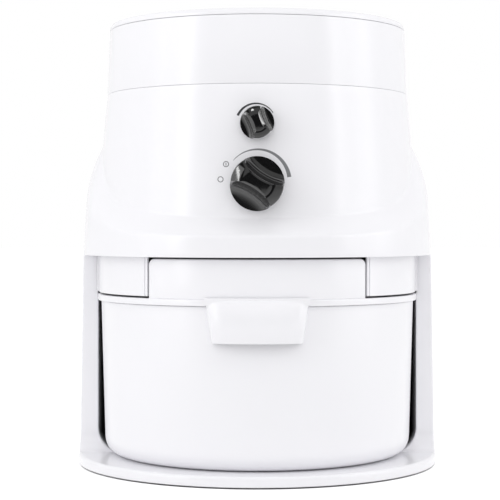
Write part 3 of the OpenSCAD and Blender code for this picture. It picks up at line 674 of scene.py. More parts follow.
@dataclass
class BaseFrame:
    """The round tray, the two columns with their rear wall, and the feet."""

    tray_radius: float = 145.4
    tray_top: float = 9.0
    tray_edge: float = 3.0
    rim_wall: float = 3.5
    lip: float = 0.8
    bite: float = 0.3
    rib_hub: float = 20.0
    rib_lift: float = 0.6
    rib_bite: float = 0.5
    ribs: int = 8
    foot_height: float = 1.2
    foot_circle: float = 120.0
    foot_radius: float = 9.0
    foot_ring: float = 3.4
    foot_dimple: float = 0.5
    foot_dish: float = 4.0
    foot_pad: float = 1.0
    foot_bearings: tuple[float, ...] = (45, 135, 225, 315)
    wall: float = 2.5
    column_foot: float = 145.0
    column_head: float = 142.5
    column_top: float = 168.7
    column_face: float = 4.0
    column_cuts: tuple[float, ...] = (0, 1.6, 2.6, 0.3, 0)
    plan_steps: int = 56
    fillet: float = 16.0
    fillet_steps: int = 14
    bay_half: float = 130.0
    bay_corner: float = 18.0
    station_gap: float = 0.8
    straight_from: float = 40.0
    rim_gap: float = 0.5
    boss_circle: float = 135.6
    boss_radius: float = 3.4
    boss_bearings: tuple[float, ...] = (6, 60, 120, 174)

    def outer(self, z: float) -> float:
        """Radius of the columns' outer face at a height."""
        low = self.tray_top - self.wall
        share = (z - low) / (self.column_top - low)
        return self.column_foot + (self.column_head - self.column_foot) * share

    def front(self, z: float) -> float:
        """Y of the columns' front faces, which flow forwards into the tray."""
        drop = min(max(self.tray_top + self.fillet - z, 0.0), self.fillet)
        return -self.column_face - self.fillet + sqrt(self.fillet**2 - drop**2)

    def bay(self, z: float) -> float:
        """Half width of the canister bay at a height."""
        drop = min(max(self.tray_top + self.bay_corner - z, 0.0), self.bay_corner)
        return self.bay_half - self.bay_corner + sqrt(self.bay_corner**2 - drop**2)

    def plan(self, z: float) -> list[Point2]:
        """Plan of the frame's right half at a height.

        Args:
            z: The height.

        Returns:
            Points from the middle of the back, round the column and back along its inner side.
        """
        steps = self.plan_steps
        out, front, bay = self.outer(z), self.front(z), self.bay(z)
        inner = out - self.wall
        rear = self.wall - self.column_face
        turn, back = acos(front / out), acos(rear / inner)
        half = [(out * sin(turn * i / steps), out * cos(turn * i / steps)) for i in range(steps)]
        corner = (out * sin(turn), front)
        inward = (inner * sin(back), rear)
        half += bend([half[-1], corner, (bay, front), (bay, rear), inward], self.column_cuts)[1:]
        half += [
            (inner * sin(back * i / steps), inner * cos(back * i / steps)) for i in range(steps - 1, -1, -1)
        ]
        return half

    def tray(self) -> Form:
        """The tray with its ribs and foot pads."""
        top, foot = self.tray_top, self.foot_height
        hollow = self.tray_radius - self.rim_wall
        ceiling = top - self.wall
        line = bend(
            [(0, top), (self.tray_radius, top), (self.tray_radius, foot), (hollow, foot), (hollow, ceiling),
             (0, ceiling)],
            [0, self.tray_edge, self.lip, self.lip, 0, 0], 7,
        )
        form = Form().lathe(line, 224).straighten()
        half, root = self.wall / 2, ceiling + self.bite
        for i in range(self.ribs):
            rib = Form().box(
                (self.rib_hub, -half, foot + self.rib_lift), (hollow + self.rib_bite, half, root)
            )
            form.add(rib.at(0, 0, 0, turn=360 / self.ribs * i).straighten())
        pad = self.foot_radius + self.foot_pad
        return form.ring(self.foot_circle, self.foot_bearings, lambda: Form().rod(pad, foot, root, 48))

    def columns(self) -> Form:
        """Both columns and the rear wall as one closed wall."""
        low, top = self.tray_top, self.column_top
        rise = [low + self.fillet * (1 - cos(radians(a))) for a in spread(0, 90, self.fillet_steps)]
        corner = low + self.bay_corner
        heights = [low - self.wall, *rise, corner - self.station_gap, corner,
                   *spread(self.straight_from, top - self.rim_gap, 8), top]
        plans = []
        for z in heights:
            half = self.plan(z)
            plans.append(half + [(-x, y) for x, y in reversed(half)])
        count = len(plans[0])
        form = Form().grid(count, len(heights) - 1, lambda i, j: (*plans[j][i % count], heights[j])).cap()
        return form.ring(
            self.boss_circle, self.boss_bearings, lambda: Form().rod(self.boss_radius, low - 1, top, 32)
        )

    def feet(self) -> Form:
        """Four rubber feet with a ring moulded in each."""
        r, h, step = self.foot_radius, self.foot_height, self.foot_dimple
        line = bend(
            [(0, step), (r - self.foot_dish, step), (r - self.foot_ring, 0), (r, 0), (r, h), (0, h)],
            [0, 0.2, 0.2, 0.4, 0.1, 0], 3,
        )
        return Form().ring(self.foot_circle, self.foot_bearings, lambda: Form().lathe(line, 56))

    def build(self) -> None:
        """Builds and dresses the base."""
        self.tray().add(self.columns()).piece("base_shell", WHITE, "mill", "base_frame")
        self.feet().piece("base_feet", RUBBER, "mill", "rubber_feet")


# --- housing


@dataclass
class Housing:
    """The round housing, its chassis with the cheeks, and what is set in its back."""

    skirt_bottom: float = 168.7
    skirt_radius: float = 141.6
    skirt_lean: float = 0.055
    edge: float = 184.6
    edge_rise: float = 24.0
    edge_bend: Point2 = (2.4, 7.0)
    crease: float = 197.8
    crease_low: float = 18.0
    crease_high: float = 42.0
    crease_bend: Point2 = (1.6, 9.0)
    bulge: float = 3.2
    shoulder: tuple[float, ...] = (0, 0.22, 0.36, 0.5, 0.64, 0.78, 1)
    belly: tuple[float, ...] = (0.12, 0.24, 0.36, 0.48, 0.6, 0.72, 0.84, 0.93, 1)
    barrel_foot: float = 128.6
    barrel_head: float = 122.2
    barrel_curve: float = 1.6
    seam: float = 298.0
    seam_gap: float = 0.2
    wall: float = 2.5
    heart: float = 230.0
    rounding: float = 0.45
    sharpest: float = 50.0
    sides: int = 320
    speed_axis: float = 268.0
    vent_half: float = 42.0
    vent_low: float = 206.0
    vent_high: float = 250.0
    vent_border: float = 3.0
    vent_pitch: float = 7.0
    vent_slot: float = 3.6
    vent_bars: int = 6
    vent_rim: float = 6.0
    vent_reach: Point2 = (100.0, 150.0)
    vent_corner: float = 3.0
    vent_play: float = 0.8
    vent_lap: float = 4.0
    vent_wall: float = 2.0
    vent_round: float = 0.5
    gland_z: float = 180.0
    holes: tuple[Point3, ...] = ((5.3, MILL_AXIS, -1), (4.3, speed_axis, -1), (6.3, gland_z, 1))
    hole_middle: float = 132.0
    hole_reach: float = 20.0
    gland_radius: float = 6.0
    gland_bore: float = 3.6
    gland_end: float = 151.0
    gland_play: float = 0.1
    gland_root: float = 8.0
    gland_lip: Point2 = (1.5, 3.0)
    gland_flange: float = 3.0
    grips: int = 3
    grip_pitch: float = 1.9
    grip_start: float = 0.9
    grip_taper: float = 0.45
    groove: tuple[Point2, ...] = ((0, 0), (-0.7, 0.35), (-0.7, 0.9), (-0.3, 1.2))
    canister_shift: float = 8.0
    cheek_radius: float = 128.0
    cheek_bottom: float = 139.0
    cheek_edge: float = 82.5
    cheek_turn: float = 88.2
    cheek_heart: float = 105.0
    cheek_play: float = 0.9
    cheek_front: float = 2.6
    cheek_back: float = 32.0
    cheek_corner: float = 5.0
    cheek_rows: Point2 = (0.9, 4.0)
    cheek_root: float = 0.2
    cheek_rounding: float = 0.7
    cheek_steps: int = 40
    bay_half: float = 130.0
    plate: float = 3.0
    plate_play: float = 0.3
    duct_low: Point2 = (-17.1, -51.6)
    duct_high: Point2 = (17.1, -31.9)

    def skirt(self, z: float) -> float:
        """Radius of the skirt's face at a height."""
        return self.skirt_radius - self.skirt_lean * (z - self.skirt_bottom)

    def barrel(self, z: float) -> float:
        """Radius of the barrel at a height."""
        t = max((z - self.crease) / (self.seam - self.crease), 0.0)
        return self.barrel_foot + (self.barrel_head - self.barrel_foot) * t**self.barrel_curve

    def profile(self, angle: float) -> list[Point2]:
        """Outer line of the housing at an angle from the front.

        Args:
            angle: Radians from the front.

        Returns:
            (radius, height) points from the skirt's lower edge to the seam.
        """
        side = abs(sin(angle))
        flank, peak = side**6, side**18
        low = self.edge + self.edge_rise * flank
        high = self.crease + self.crease_low * side**3 + self.crease_high * peak
        inner, outer = self.barrel(high), self.skirt(low)
        line = [(self.skirt(self.skirt_bottom), self.skirt_bottom)]
        for t in self.shoulder:
            swell = 4 * t * (1 - t) * self.bulge * flank
            line.append((outer + (inner - outer) * t + swell, low + (high - low) * t))
        cuts = [0.0] * (len(line) + len(self.belly))
        cuts[1] = self.edge_bend[0] + self.edge_bend[1] * flank
        cuts[len(line) - 1] = self.crease_bend[0] + self.crease_bend[1] * flank
        for t in self.belly:
            z = high + (self.seam - self.seam_gap - high) * t
            line.append((self.barrel(z), z))
        return bend(line, cuts, 6)

    def shell(self) -> Form:
        """The housing's skin with its wall, shaft holes, vent window and gland hole."""
        angles = spread(0, 2 * pi, self.sides)[:-1]
        lines = [self.profile(angle) for angle in angles]

        def place(i: int, j: int) -> Point3:
            """Corner of the skin."""
            r, z = lines[i % self.sides][j]
            return round_about(r, angles[i % self.sides], z)

        form = Form().grid(self.sides, len(lines[0]) - 1, place)
        form.away_from((0, 0, self.heart)).thicken(self.wall)
        for radius, z, side in self.holes:
            hole = Form().rod(radius, -self.hole_reach, self.hole_reach, 40)
            form.carve(hole.at(0, side * self.hole_middle, z, Facing.FRONT))
        (near, far), half = self.vent_reach, self.vent_half
        window = Form().box((-half, near, self.vent_low), (half, far, self.vent_high)).straighten()
        form.carve(window.round_edges(longer(1, (far - near) / 2), self.vent_corner, 4))
        return form.soften(self.rounding, 3, self.sharpest)

    def grille(self) -> Form:
        """Curved grille with rounded bars behind the vent window."""
        low, high = self.vent_low - self.vent_rim, self.vent_high + self.vent_rim
        outer = self.barrel(high) - self.wall - self.vent_play
        half = asin((self.vent_half + self.vent_rim) / outer)
        inset = asin((self.vent_half - self.vent_lap) / outer)
        inner = outer - self.vent_wall
        overlap, step = 0.004, radians(1.2)

        def bar(bottom: float, top: float, start: float, end: float) -> Form:
            """One curved bar with a rounded section.

            Args:
                bottom: Its lower height.
                top: Its upper height.
                start: Angle of one end from the back.
                end: Angle of the other.

            Returns:
                The bar.
            """
            section = bend(
                [(inner, bottom), (outer, bottom), (outer, top), (inner, top), (inner, bottom)],
                [0, self.vent_round, self.vent_round, 0, 0], 3,
            )
            steps = max(int((end - start) / step), 2)

            def place(i: int, j: int) -> Point3:
                """Corner of the bar."""
                x, y, z = round_about(section[j][0], start + (end - start) * i / steps, section[j][1])
                return x, -y, z

            return Form().grid(steps, len(section) - 1, place).cap()

        form = Form().add(bar(low, high, -half, -inset)).add(bar(low, high, inset, half))
        edges = [low]
        for k in range(self.vent_bars):
            start = self.vent_low + self.vent_border + self.vent_pitch * k
            edges += [start, start + self.vent_slot]
        edges.append(high)
        for bottom, top in zip(edges[::2], edges[1::2]):
            form.add(bar(bottom, top, -inset - overlap, inset + overlap))
        return form

    def gland(self) -> Form:
        """Ribbed cord gland that stands out of the back."""
        face, wide = self.skirt_radius + self.gland_play, self.gland_flange
        inside, flange = face - self.wall - self.gland_root, face + wide
        r, bore, end = self.gland_radius, self.gland_bore, self.gland_end
        lip, thick = self.gland_lip
        line = [(bore, inside), (r + lip, inside), (r + lip, inside + thick), (r, inside + thick), (r, face),
                (r + wide, face), (r + wide, flange), (r, flange)]
        cuts = [0, 0.3, 0.2, 0, 0, 0.5, 0.9, 0.3]
        for k in range(self.grips):
            y = flange + self.grip_start + self.grip_pitch * k
            grip = r - self.grip_taper * k
            line += [(grip + out, y + along) for out, along in self.groove]
            cuts += [0.1] * len(self.groove)
        line += [(r - lip, end), (bore, end)]
        cuts += [0.5, 0.4]
        form = Form().lathe(bend(line, cuts, 3), 64, ring=True)
        return form.at(0, 0, self.gland_z, Facing.BACK).straighten()

    def chassis(self) -> Form:
        """The plate that closes the housing, with the cheeks beside the canister's lid."""
        low, high = self.skirt_bottom, self.skirt_bottom + self.plate
        form = Form().rod(self.skirt_radius - self.wall - self.plate_play, low, high, 192)
        form.carve(Form().box((*self.duct_low, low - 1), (*self.duct_high, high + 1)))
        r, shift, bottom = self.cheek_radius, self.canister_shift, self.cheek_bottom
        start = asin((self.cheek_edge + 0.01) / r)
        turns = spread(radians(self.cheek_turn), start, self.cheek_steps)
        first = (self.bay_half + self.cheek_play, self.cheek_front - shift)
        last = (self.cheek_edge, self.cheek_back)
        path = bend([first, *arc(r, turns, -shift), last], [0] * len(turns) + [self.cheek_corner, 0], 9)
        second, third = self.cheek_rows
        heights = [bottom, bottom + second, *spread(bottom + third, low + self.cheek_root, 6)]
        for side in (1, -1):
            cheek = Form().grid(
                len(path) - 1, len(heights) - 1, lambda i, j: (side * path[i][0], path[i][1], heights[j])
            )
            cheek.away_from((side * self.cheek_heart, 0, bottom))
            cheek.thicken(self.wall).straighten().soften(self.cheek_rounding, 3, self.sharpest)
            form.add(cheek)
        return form

    def build(self) -> None:
        """Builds and dresses the housing."""
        self.shell().piece("housing_shell", WHITE, "mill", "upper_housing")
        self.chassis().piece("chassis_shell", WHITE, "mill", "chassis")
        self.grille().piece("rear_grille", DARK, "mill", "vent_grille")
        self.gland().piece("rear_gland", RUBBER, "mill", "cord_gland")


# --- hopper


@dataclass
class Hopper:
    """The grain hopper on top of the housing and its lid."""

    seam: float = 298.0
    head: float = 349.5
    foot_radius: float = 122.2
    head_radius: float = 120.2
    wall: float = 2.5
    funnel_wall: float = 2.2
    funnel_rise: float = 5.0
    funnel_root: float = 4.0
    funnel_steps: int = 10
    throat_half: float = 13.0
    throat_shift: float = 79.0
    throat_bottom: float = 276.0
    throat_top: float = 284.0
    throat_power: int = 14
    top: float = 355.6
    lid_gap: float = 0.3
    lid_wall: float = 2.4
    lid_drop: float = 1.2
    dome_share: float = 0.55
    dome_fall: float = 0.22
    edge_inset: float = 1.2
    edge_fall: Point2 = (1.0, 4.2)
    plug_play: float = 1.2
    plug_depth: float = 5.0
    sides: int = 256

    def square(self, angle: float, half: float) -> Point2:
        """Point of the throat's rounded square in the direction of an angle."""
        s, c = sin(angle), -cos(angle)
        power = self.throat_power
        reach = half / (abs(s) ** power + abs(c) ** power) ** (1 / power)
        return reach * s, reach * c - self.throat_shift

    def bowl(self) -> Form:
        """The ring and the funnel as one closed wall."""
        inner = self.head_radius - self.wall
        half, thick = self.throat_half, self.throat_half + self.funnel_wall
        lip = self.throat_top + self.funnel_wall
        rise = self.seam + self.funnel_rise - self.throat_top
        under_rise = self.seam + self.funnel_root - self.throat_top
        shares = spread(0, 1, self.funnel_steps)
        rows = [(0, half, self.throat_bottom), *((t, half, lip + rise * t) for t in shares)]
        ring = bend(
            [(inner, lip + rise), (inner, self.head), (self.head_radius, self.head),
             (self.foot_radius, self.seam), (inner, self.seam), (inner, self.seam + self.funnel_root)],
            [0, 0.5, 0.35, 0.5, 0.3, 0], 3,
        )[1:-1]
        under = [(t, thick, self.throat_top + under_rise * t) for t in reversed(shares)]
        under.append((0, thick, self.throat_bottom))
        total = len(rows) + len(ring) + len(under)

        def place(i: int, j: int) -> Point3:
            """Corner of the bowl.

            Args:
                i: Its station round the axis.
                j: Its row, from the throat's foot up the inside, over the ring and down the outside.

            Returns:
                The point.
            """
            angle = 2 * pi * (i % self.sides) / self.sides
            j %= total
            if len(rows) <= j < len(rows) + len(ring):
                r, z = ring[j - len(rows)]
                return round_about(r, angle, z)
            t, width, z = rows[j] if j < len(rows) else under[j - len(rows) - len(ring)]
            x, y = self.square(angle, width)
            return x + (inner * sin(angle) - x) * t, y + (-inner * cos(angle) - y) * t, z

        return Form().grid(self.sides, total, place).straighten()

    def lid(self) -> Form:
        """The gently domed lid with its locating ring."""
        r, top = self.head_radius, self.top
        low = self.head + self.lid_gap
        plug = r - self.wall - self.plug_play
        under = top - self.lid_drop - self.lid_wall
        foot, inside = low - self.plug_depth, plug - self.lid_wall
        start, end = self.edge_fall
        line = bend(
            [(0, top), (r * self.dome_share, top - self.dome_fall), (r - self.edge_inset, top - start),
             (r, top - end), (r, low), (plug, low), (plug, foot), (inside, foot), (inside, under),
             (0, under)],
            [0, 20, 2.2, 1.4, 0.3, 0, 0.5, 0.5, 1.0, 0], 6,
        )
        return Form().lathe(line, self.sides).straighten()

    def build(self) -> None:
        """Builds and dresses the hopper."""
        self.bowl().piece("hopper_bowl", WHITE, "mill", "hopper")
        self.lid().piece("hopper_cover", WHITE, "hopper_lid", "hopper_lid")


# --- canister


@dataclass
class Canister:
    """The flour canister with its handle and its lid."""

    shift: float = 8.0
    radius: float = 126.3
    foot_radius: float = 122.8
    corner: float = 15.0
    floor: float = 9.3
    top: float = 132.3
    wall: float = 2.4
    rim_rounding: float = 0.6
    sides: int = 256
    handle_top: float = 38.5
    handle_low: float = 34.0
    handle_bottom: float = 105.6
    handle_head: float = 138.9
    handle_crown: float = 5.2
    handle_play: float = 2.5
    handle_depth: float = 9.0
    handle_belly: float = 2.0
    handle_lean: float = 3.0
    handle_root: float = 0.8
    handle_wall: float = 2.2
    handle_power: float = 3.2
    handle_heart: float = 118.0
    handle_rounding: float = 0.5
    handle_sharpest: float = 60.0
    handle_rows: Point2 = (1.5, 0.4)
    handle_columns: int = 64
    belly_reach: float = 1.05
    crown_turn: float = 84.0
    crown_steps: int = 8
    flange_radius: float = 129.0
    flange_low: float = 132.6
    flange_high: float = 137.5
    plug_play: float = 3.0
    plug_depth: float = 5.0
    raised_half: float = 81.5
    raised_top: float = 167.2
    raised_back: float = 62.0
    raised_radius: float = 128.0
    raised_edge: float = 4.4
    raised_end: float = 1.4
    raised_front: float = 1.3
    raised_root: float = 0.4
    hollow_root: float = 3.0
    raised_steps: int = 56
    inlet_y: float = -41.75
    inlet_size: Point2 = (14.0, 6.75)
    slots: int = 5
    slot_y: float = 11.0
    slot_pitch: float = 8.0
    slot_size: Point2 = (24.0, 4.0)
    slot_rounding: float = 1.9
    through: float = 10.0

    def face(self, z: float) -> float:
        """Radius of the canister's face at a height."""
        share = (z - self.floor) / (self.top - self.floor)
        return self.foot_radius + (self.radius - self.foot_radius) * share

    def pot(self) -> Form:
        """The canister's round wall and floor."""
        w, low, top, foot = self.wall, self.floor, self.top, self.foot_radius
        line = bend(
            [(0, low), (foot, low), (self.radius, top), (self.radius - w, top), (foot - w, low + w),
             (0, low + w)],
            [0, self.corner, self.rim_rounding, self.rim_rounding, self.corner - w, 0], 10,
        )
        return Form().lathe(line, self.sides).straighten()

    def handle(self) -> Form:
        """The hood that the fingers reach under."""
        columns, low, top, crown = self.handle_columns, self.handle_bottom, self.top, self.handle_crown
        turns = [radians(a) for a in spread(0, self.crown_turn, self.crown_steps)]
        plain = [low, *spread(low + self.handle_rows[0], top - self.handle_rows[1], 10)]
        heights = plain + [self.handle_head - crown * (1 - sin(a)) for a in turns]
        shrink = [0] * len(plain) + [crown * (1 - cos(a)) for a in turns]
        rise = self.handle_head - low

        def place(i: int, j: int) -> Point3:
            """Corner of the hood.

            Args:
                i: Its column, from one side to the other.
                j: Its row, from the bottom up.

            Returns:
                The point.
            """
            z = heights[j]
            t = (z - low) / rise
            belly = self.handle_belly * sin(pi * min(t * self.belly_reach, 1))
            depth = self.handle_depth + belly - self.handle_lean * t**3 - shrink[j]
            wall = self.face(min(z, top))
            root = wall - self.handle_root
            least = self.flange_radius + self.handle_play if z > top else 0
            half = self.handle_low + (self.handle_top - self.handle_low) * t
            turn = pi * (i / columns - 0.5)
            across = copysign(abs(sin(turn)) ** (2 / self.handle_power), sin(turn))
            out = abs(cos(turn)) ** (2 / self.handle_power)
            return round_about(max(root + (wall + depth - root) * out, least), half * across / self.radius, z)

        form = Form().grid(columns, len(heights) - 1, place).away_from((0, 0, self.handle_heart))
        form.thicken(self.handle_wall).straighten()
        return form.soften(self.handle_rounding, 3, self.handle_sharpest)

    def raised(self, margin: float, bottom: float) -> Form:
        """The raised housing of the lid as a block.

        Args:
            margin: How far the block stays inside the housing's outer face.
            bottom: Height of its underside.

        Returns:
            The block, its two long top edges rounded.
        """
        side, radius, top = self.raised_half - margin, self.raised_radius - margin, self.raised_top - margin
        turn = asin(side / radius)
        first = turn - (self.raised_edge + self.raised_end) / radius
        angles = [-turn, *spread(-first, first, self.raised_steps), turn]
        back = self.raised_back + self.shift - margin
        near, shortest = 0.01, 20

        def top_side(e: bmesh.types.BMEdge) -> bool:
            """The long edges between the top and the sides."""
            ends = (v.co for v in e.verts)
            at_side = all(abs(co.z - top) < near and abs(abs(co.x) - side) < near for co in ends)
            return at_side and e.calc_length() > shortest

        made = Form().prism([*arc(radius, angles), (side, back), (-side, back)], bottom, top).straighten()
        return made.round_edges(top_side, self.raised_edge, 7)

    def lid(self) -> Form:
        """The lid: flange, locating ring and the raised housing with its inlet and filter slots."""
        plug, w = self.radius - self.wall - self.plug_play, self.wall
        low, high, r = self.flange_low, self.flange_high, self.flange_radius
        foot = low - self.plug_depth
        line = bend(
            [(0, high), (r, high), (r, low), (plug, low), (plug, foot), (plug - w, foot), (plug - w, low),
             (0, low)],
            [0, 1.1, 0.7, 0, 0.5, 0.5, 0, 0], 5,
        )
        form = Form().lathe(line, self.sides)

        def front_edge(e: bmesh.types.BMEdge) -> bool:
            """Edges between the curved front and the top or the sides."""
            first, second = (f.normal for f in e.link_faces)
            turned = (first.y < -0.5) != (second.y < -0.5) and first.dot(second) < 0.8
            return turned and e.verts[0].co.z > high - 5

        outer = self.raised(0, high - self.raised_root).round_edges(front_edge, self.raised_front, 4)
        outer.carve(self.raised(w, high - self.hollow_root))
        floor, roof = self.raised_top - self.through, self.raised_top + self.through
        (half, reach), middle = self.inlet_size, self.inlet_y + self.shift
        outer.carve(Form().box((-half, middle - reach, floor), (half, middle + reach, roof)))
        half, width = self.slot_size
        for k in range(self.slots):
            y = self.slot_y + self.slot_pitch * k + self.shift
            slot = Form().box((-half, y, floor), (half, y + width, roof)).straighten()
            outer.carve(slot.round_edges(longer(2, self.through), self.slot_rounding, 4))
        return form.straighten().add(outer)

    def build(self) -> None:
        """Builds and dresses the canister."""
        pot = self.pot().add(self.handle()).at(0, -self.shift, 0)
        pot.piece("canister_pot", WHITE, "canister", "canister")
        self.lid().at(0, -self.shift, 0).piece("canister_cover", WHITE, "canister", "canister_lid")


# --- controls


@dataclass
class Knob:
    """A gloss knob: a round skirt, and a waisted grip bar between two scoops."""

    name: str
    node: str
    body: str
    axis: float
    back: float
    radius: float
    depth: float
    skirt: float
    grip: float
    pointer: float
    mark: float
    mark_radius: float
    sweep: float
    facet: float
    flat: float = 0.56
    flat_bend: float = 0.14
    cone: float = 29.0
    edge: float = 0.7
    sink: float = 0.3
    bowl_slope: float = 0.28
    bowl_bend: float = 0.9
    facet_lean: float = 32.0
    facet_inside: float = 0.6
    over: float = 3.0
    fill: float = 0.85
    fill_reach: float = 0.4
    bore: Point2 = (3.0, 12.0)
    rounding: float = 0.3
    sharpest: float = 42.0
    dome: Point3 = (0.16, 0.1, -0.5)

    def fall(self, radius: float) -> float:
        """How far the cone round the flat top has fallen at a radius."""
        return max(radius - self.flat * self.radius, 0) * tan(radians(self.cone))

    def scoop(self, reach: float) -> Form:
        """What is scooped out on one side of the bar.

        Args:
            reach: The scoop's radius at the knob's face.

        Returns:
            The bowl, with a facet at its brim.
        """
        depth, facet, slope = self.depth, self.facet, self.bowl_slope * self.radius
        rise = tan(radians(self.facet_lean))
        outside = (1 - self.facet_inside) * facet + self.over
        line = bend(
            [(0, self.skirt), (reach - slope, self.skirt),
             (reach - self.facet_inside * facet, depth - facet * rise),
             (reach + outside, depth + self.over * rise), (0, depth + 2 * self.over)],
            [0, self.bowl_bend * slope, 0.3, 0, 0], 10,
        )
        return Form().lathe(line, 160)

    def build(self) -> None:
        """Builds and dresses the knob and its mark."""
        r, depth, skirt = self.radius, self.depth, self.skirt
        face, rim = depth - self.sink, r - self.edge
        line = bend(
            [(0, 0), (r, 0), (r, skirt), (rim, face - self.fall(rim)), (self.flat * r, face), (0, depth)],
            [0, 0.5, 0, 1.0, self.flat_bend * r, 0], 8,
        )
        form = Form().lathe(line, 128)
        reach = r * self.sweep
        for side in (1, -1):
            form.carve(self.scoop(reach).at(0, side * (reach + self.grip), 0))
        form.carve(Form().rod(self.bore[0], -1, self.bore[1], 32))
        for vert in form.bm.verts:
            along = -vert.co.x / (self.fill_reach * r)
            height = (vert.co.z - skirt) / (depth - skirt)
            if along > 0 and height > 0:
                vert.co.z += self.fill * self.fall(vert.co.to_2d().length) * min(along, 1) ** 2 * height
        form.soften(self.rounding, 3, self.sharpest)
        form.at(0, self.back, self.axis, Facing.FRONT, self.pointer).straighten()
        form.piece(self.name, GLOSS, self.body, self.node, sharp=28)
        r, (crown, brim, root) = self.mark_radius, self.dome
        dome = bend([(0, crown), (r, brim), (r, root), (0, root)], [0, 0.1, 0, 0], 3)
        angle = radians(self.pointer)
        x, z = self.mark * cos(angle), self.axis + self.mark * sin(angle)
        y = self.back - face + self.fall(self.mark)
        dot = Form().lathe(dome, 32).at(x, y, z, Facing.FRONT).straighten()
        dot.piece(self.name + "_mark", MARK, self.body)


@dataclass
class Prints:
    """What is printed on the barrel round the knobs: two tapering scales and two plain signs."""

    housing: Housing
    lift: float = 0.05
    thickness: float = 0.1
    sign_circle: float = 27.4
    sign_bearings: Point2 = (147.5, 172.8)
    sign_radius: float = 1.95
    sign_line: float = 0.45
    stroke: Point2 = (0.42, 2.3)
    turn_step: float = 3.0
    fewest: int = 12

    def spot(self, x: float, z: float) -> Point3:
        """Point just in front of the barrel's face."""
        r = self.housing.barrel(z) + self.lift
        return x, -sqrt(r * r - x * x), z

    def sheet(self, columns: int, rows: int, height: float, place: Callable[[int, int], Point3]) -> Form:
        """A thin film on the barrel's face near a height."""
        form = Form().grid(columns, rows, place).away_from((0, 0, height))
        return form.thicken(self.thickness).straighten()

    def ribbon(
        self, axis: float, radius: float, start: float, end: float, widths: Point2, centre_x: float = 0.0
    ) -> Form:
        """An arc whose width changes along it.

        Args:
            axis: Height of its centre.
            radius: Middle radius.
            start: First angle in degrees.
            end: Last angle.
            widths: Width at both ends.
            centre_x: X of its centre.

        Returns:
            The arc, wrapped on the barrel.
        """
        steps = max(int(abs(end - start) / self.turn_step), self.fewest)

        def place(i: int, j: int) -> Point3:
            """Corner of the arc."""
            t = i / steps
            angle = radians(start + (end - start) * t)
            r = radius + (j / 2 - 0.5) * (widths[0] + (widths[1] - widths[0]) * t)
            return self.spot(centre_x + r * cos(angle), axis + r * sin(angle))

        return self.sheet(steps, 2, axis, place)

    def build(self) -> None:
        """Builds and dresses the prints."""
        axis = self.housing.speed_axis
        speed = self.ribbon(axis, 14.8, start=157, end=32, widths=(1.8, 0.5), centre_x=-0.8)
        speed.piece("speed_scale", PRINT, "mill")
        feed = self.ribbon(MILL_AXIS + 1.8, 23.8, start=138.8, end=8, widths=(0.3, 3.0), centre_x=0.2)
        feed.piece("feed_scale", GREY_PRINT, "mill")
        signs, line, (wide, tall) = Form(), self.sign_line, self.stroke
        for bearing, stroked in zip(self.sign_bearings, (True, False)):
            angle = radians(bearing)
            x, z = self.sign_circle * cos(angle), MILL_AXIS + self.sign_circle * sin(angle)
            signs.add(self.ribbon(z, self.sign_radius, 0, 360, (line, line), x))
            if stroked:
                left, foot = x - wide / 2, z - tall / 2
                stroke = self.sheet(2, 6, z, lambda i, j: self.spot(left + wide * i / 2, foot + tall * j / 6))
                signs.add(stroke)
        signs.piece("switch_signs", PRINT, "mill")


# --- inner parts


@dataclass(frozen=True)
class Dressing:
    """Finishes for the frame's own pieces that stay as they are."""

    finish: Finish
    nodes: str

    def build(self) -> None:
        """Puts the finish on each piece of the list."""
        for node in self.nodes.split():
            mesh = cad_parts[node].data
            mesh.materials.clear()
            mesh.materials.append(self.finish.material())
            LOG.info("%s: %s", node, self.finish.slot)


INNER = (
    # Painted shade: the bay liner's dark and grey colours stand in for the shade inside the canister bay.
    Dressing(PAINTED_SHADE_LINER, "bay_liner"),
    Dressing(DARK, "feed_box rotary_switch speed_control mill_cover flour_duct"),
    Dressing(DARK, "board_bracket filter_cap cooling_fan"),
    Dressing(RUBBER, "mill_gasket outlet_seal rubber_isolators lid_gasket"),
    Dressing(ZINC, "frame_screws speed_nut chamber_screws motor_screws"),
    Dressing(ZINC, "feed_shaft feed_gate speed_shaft motor_shaft"),
    Dressing(STAINLESS, "stationary_head rotating_head head_nut motor_bearings"),
    Dressing(CAST, "mill_chamber motor_front_bracket motor_rear_bracket"),
    Dressing(LAMINATION, "stator_core rotor_core"),
    Dressing(COPPER, "field_coils rotor_windings commutator"),
    Dressing(BRASS, "feed_bushing"),
    Dressing(RESIN, "brush_holders"),
    Dressing(CARBON, "carbon_brushes"),
    Dressing(BOARD, "control_board"),
    Dressing(FOAM, "foam_filter"),
    Dressing(SATIN, "separator_cup"),
)


# --- studio


GLOSSY = "Is Glossy Ray"
SEEN = ("Is Camera Ray", GLOSSY, "Is Transmission Ray")


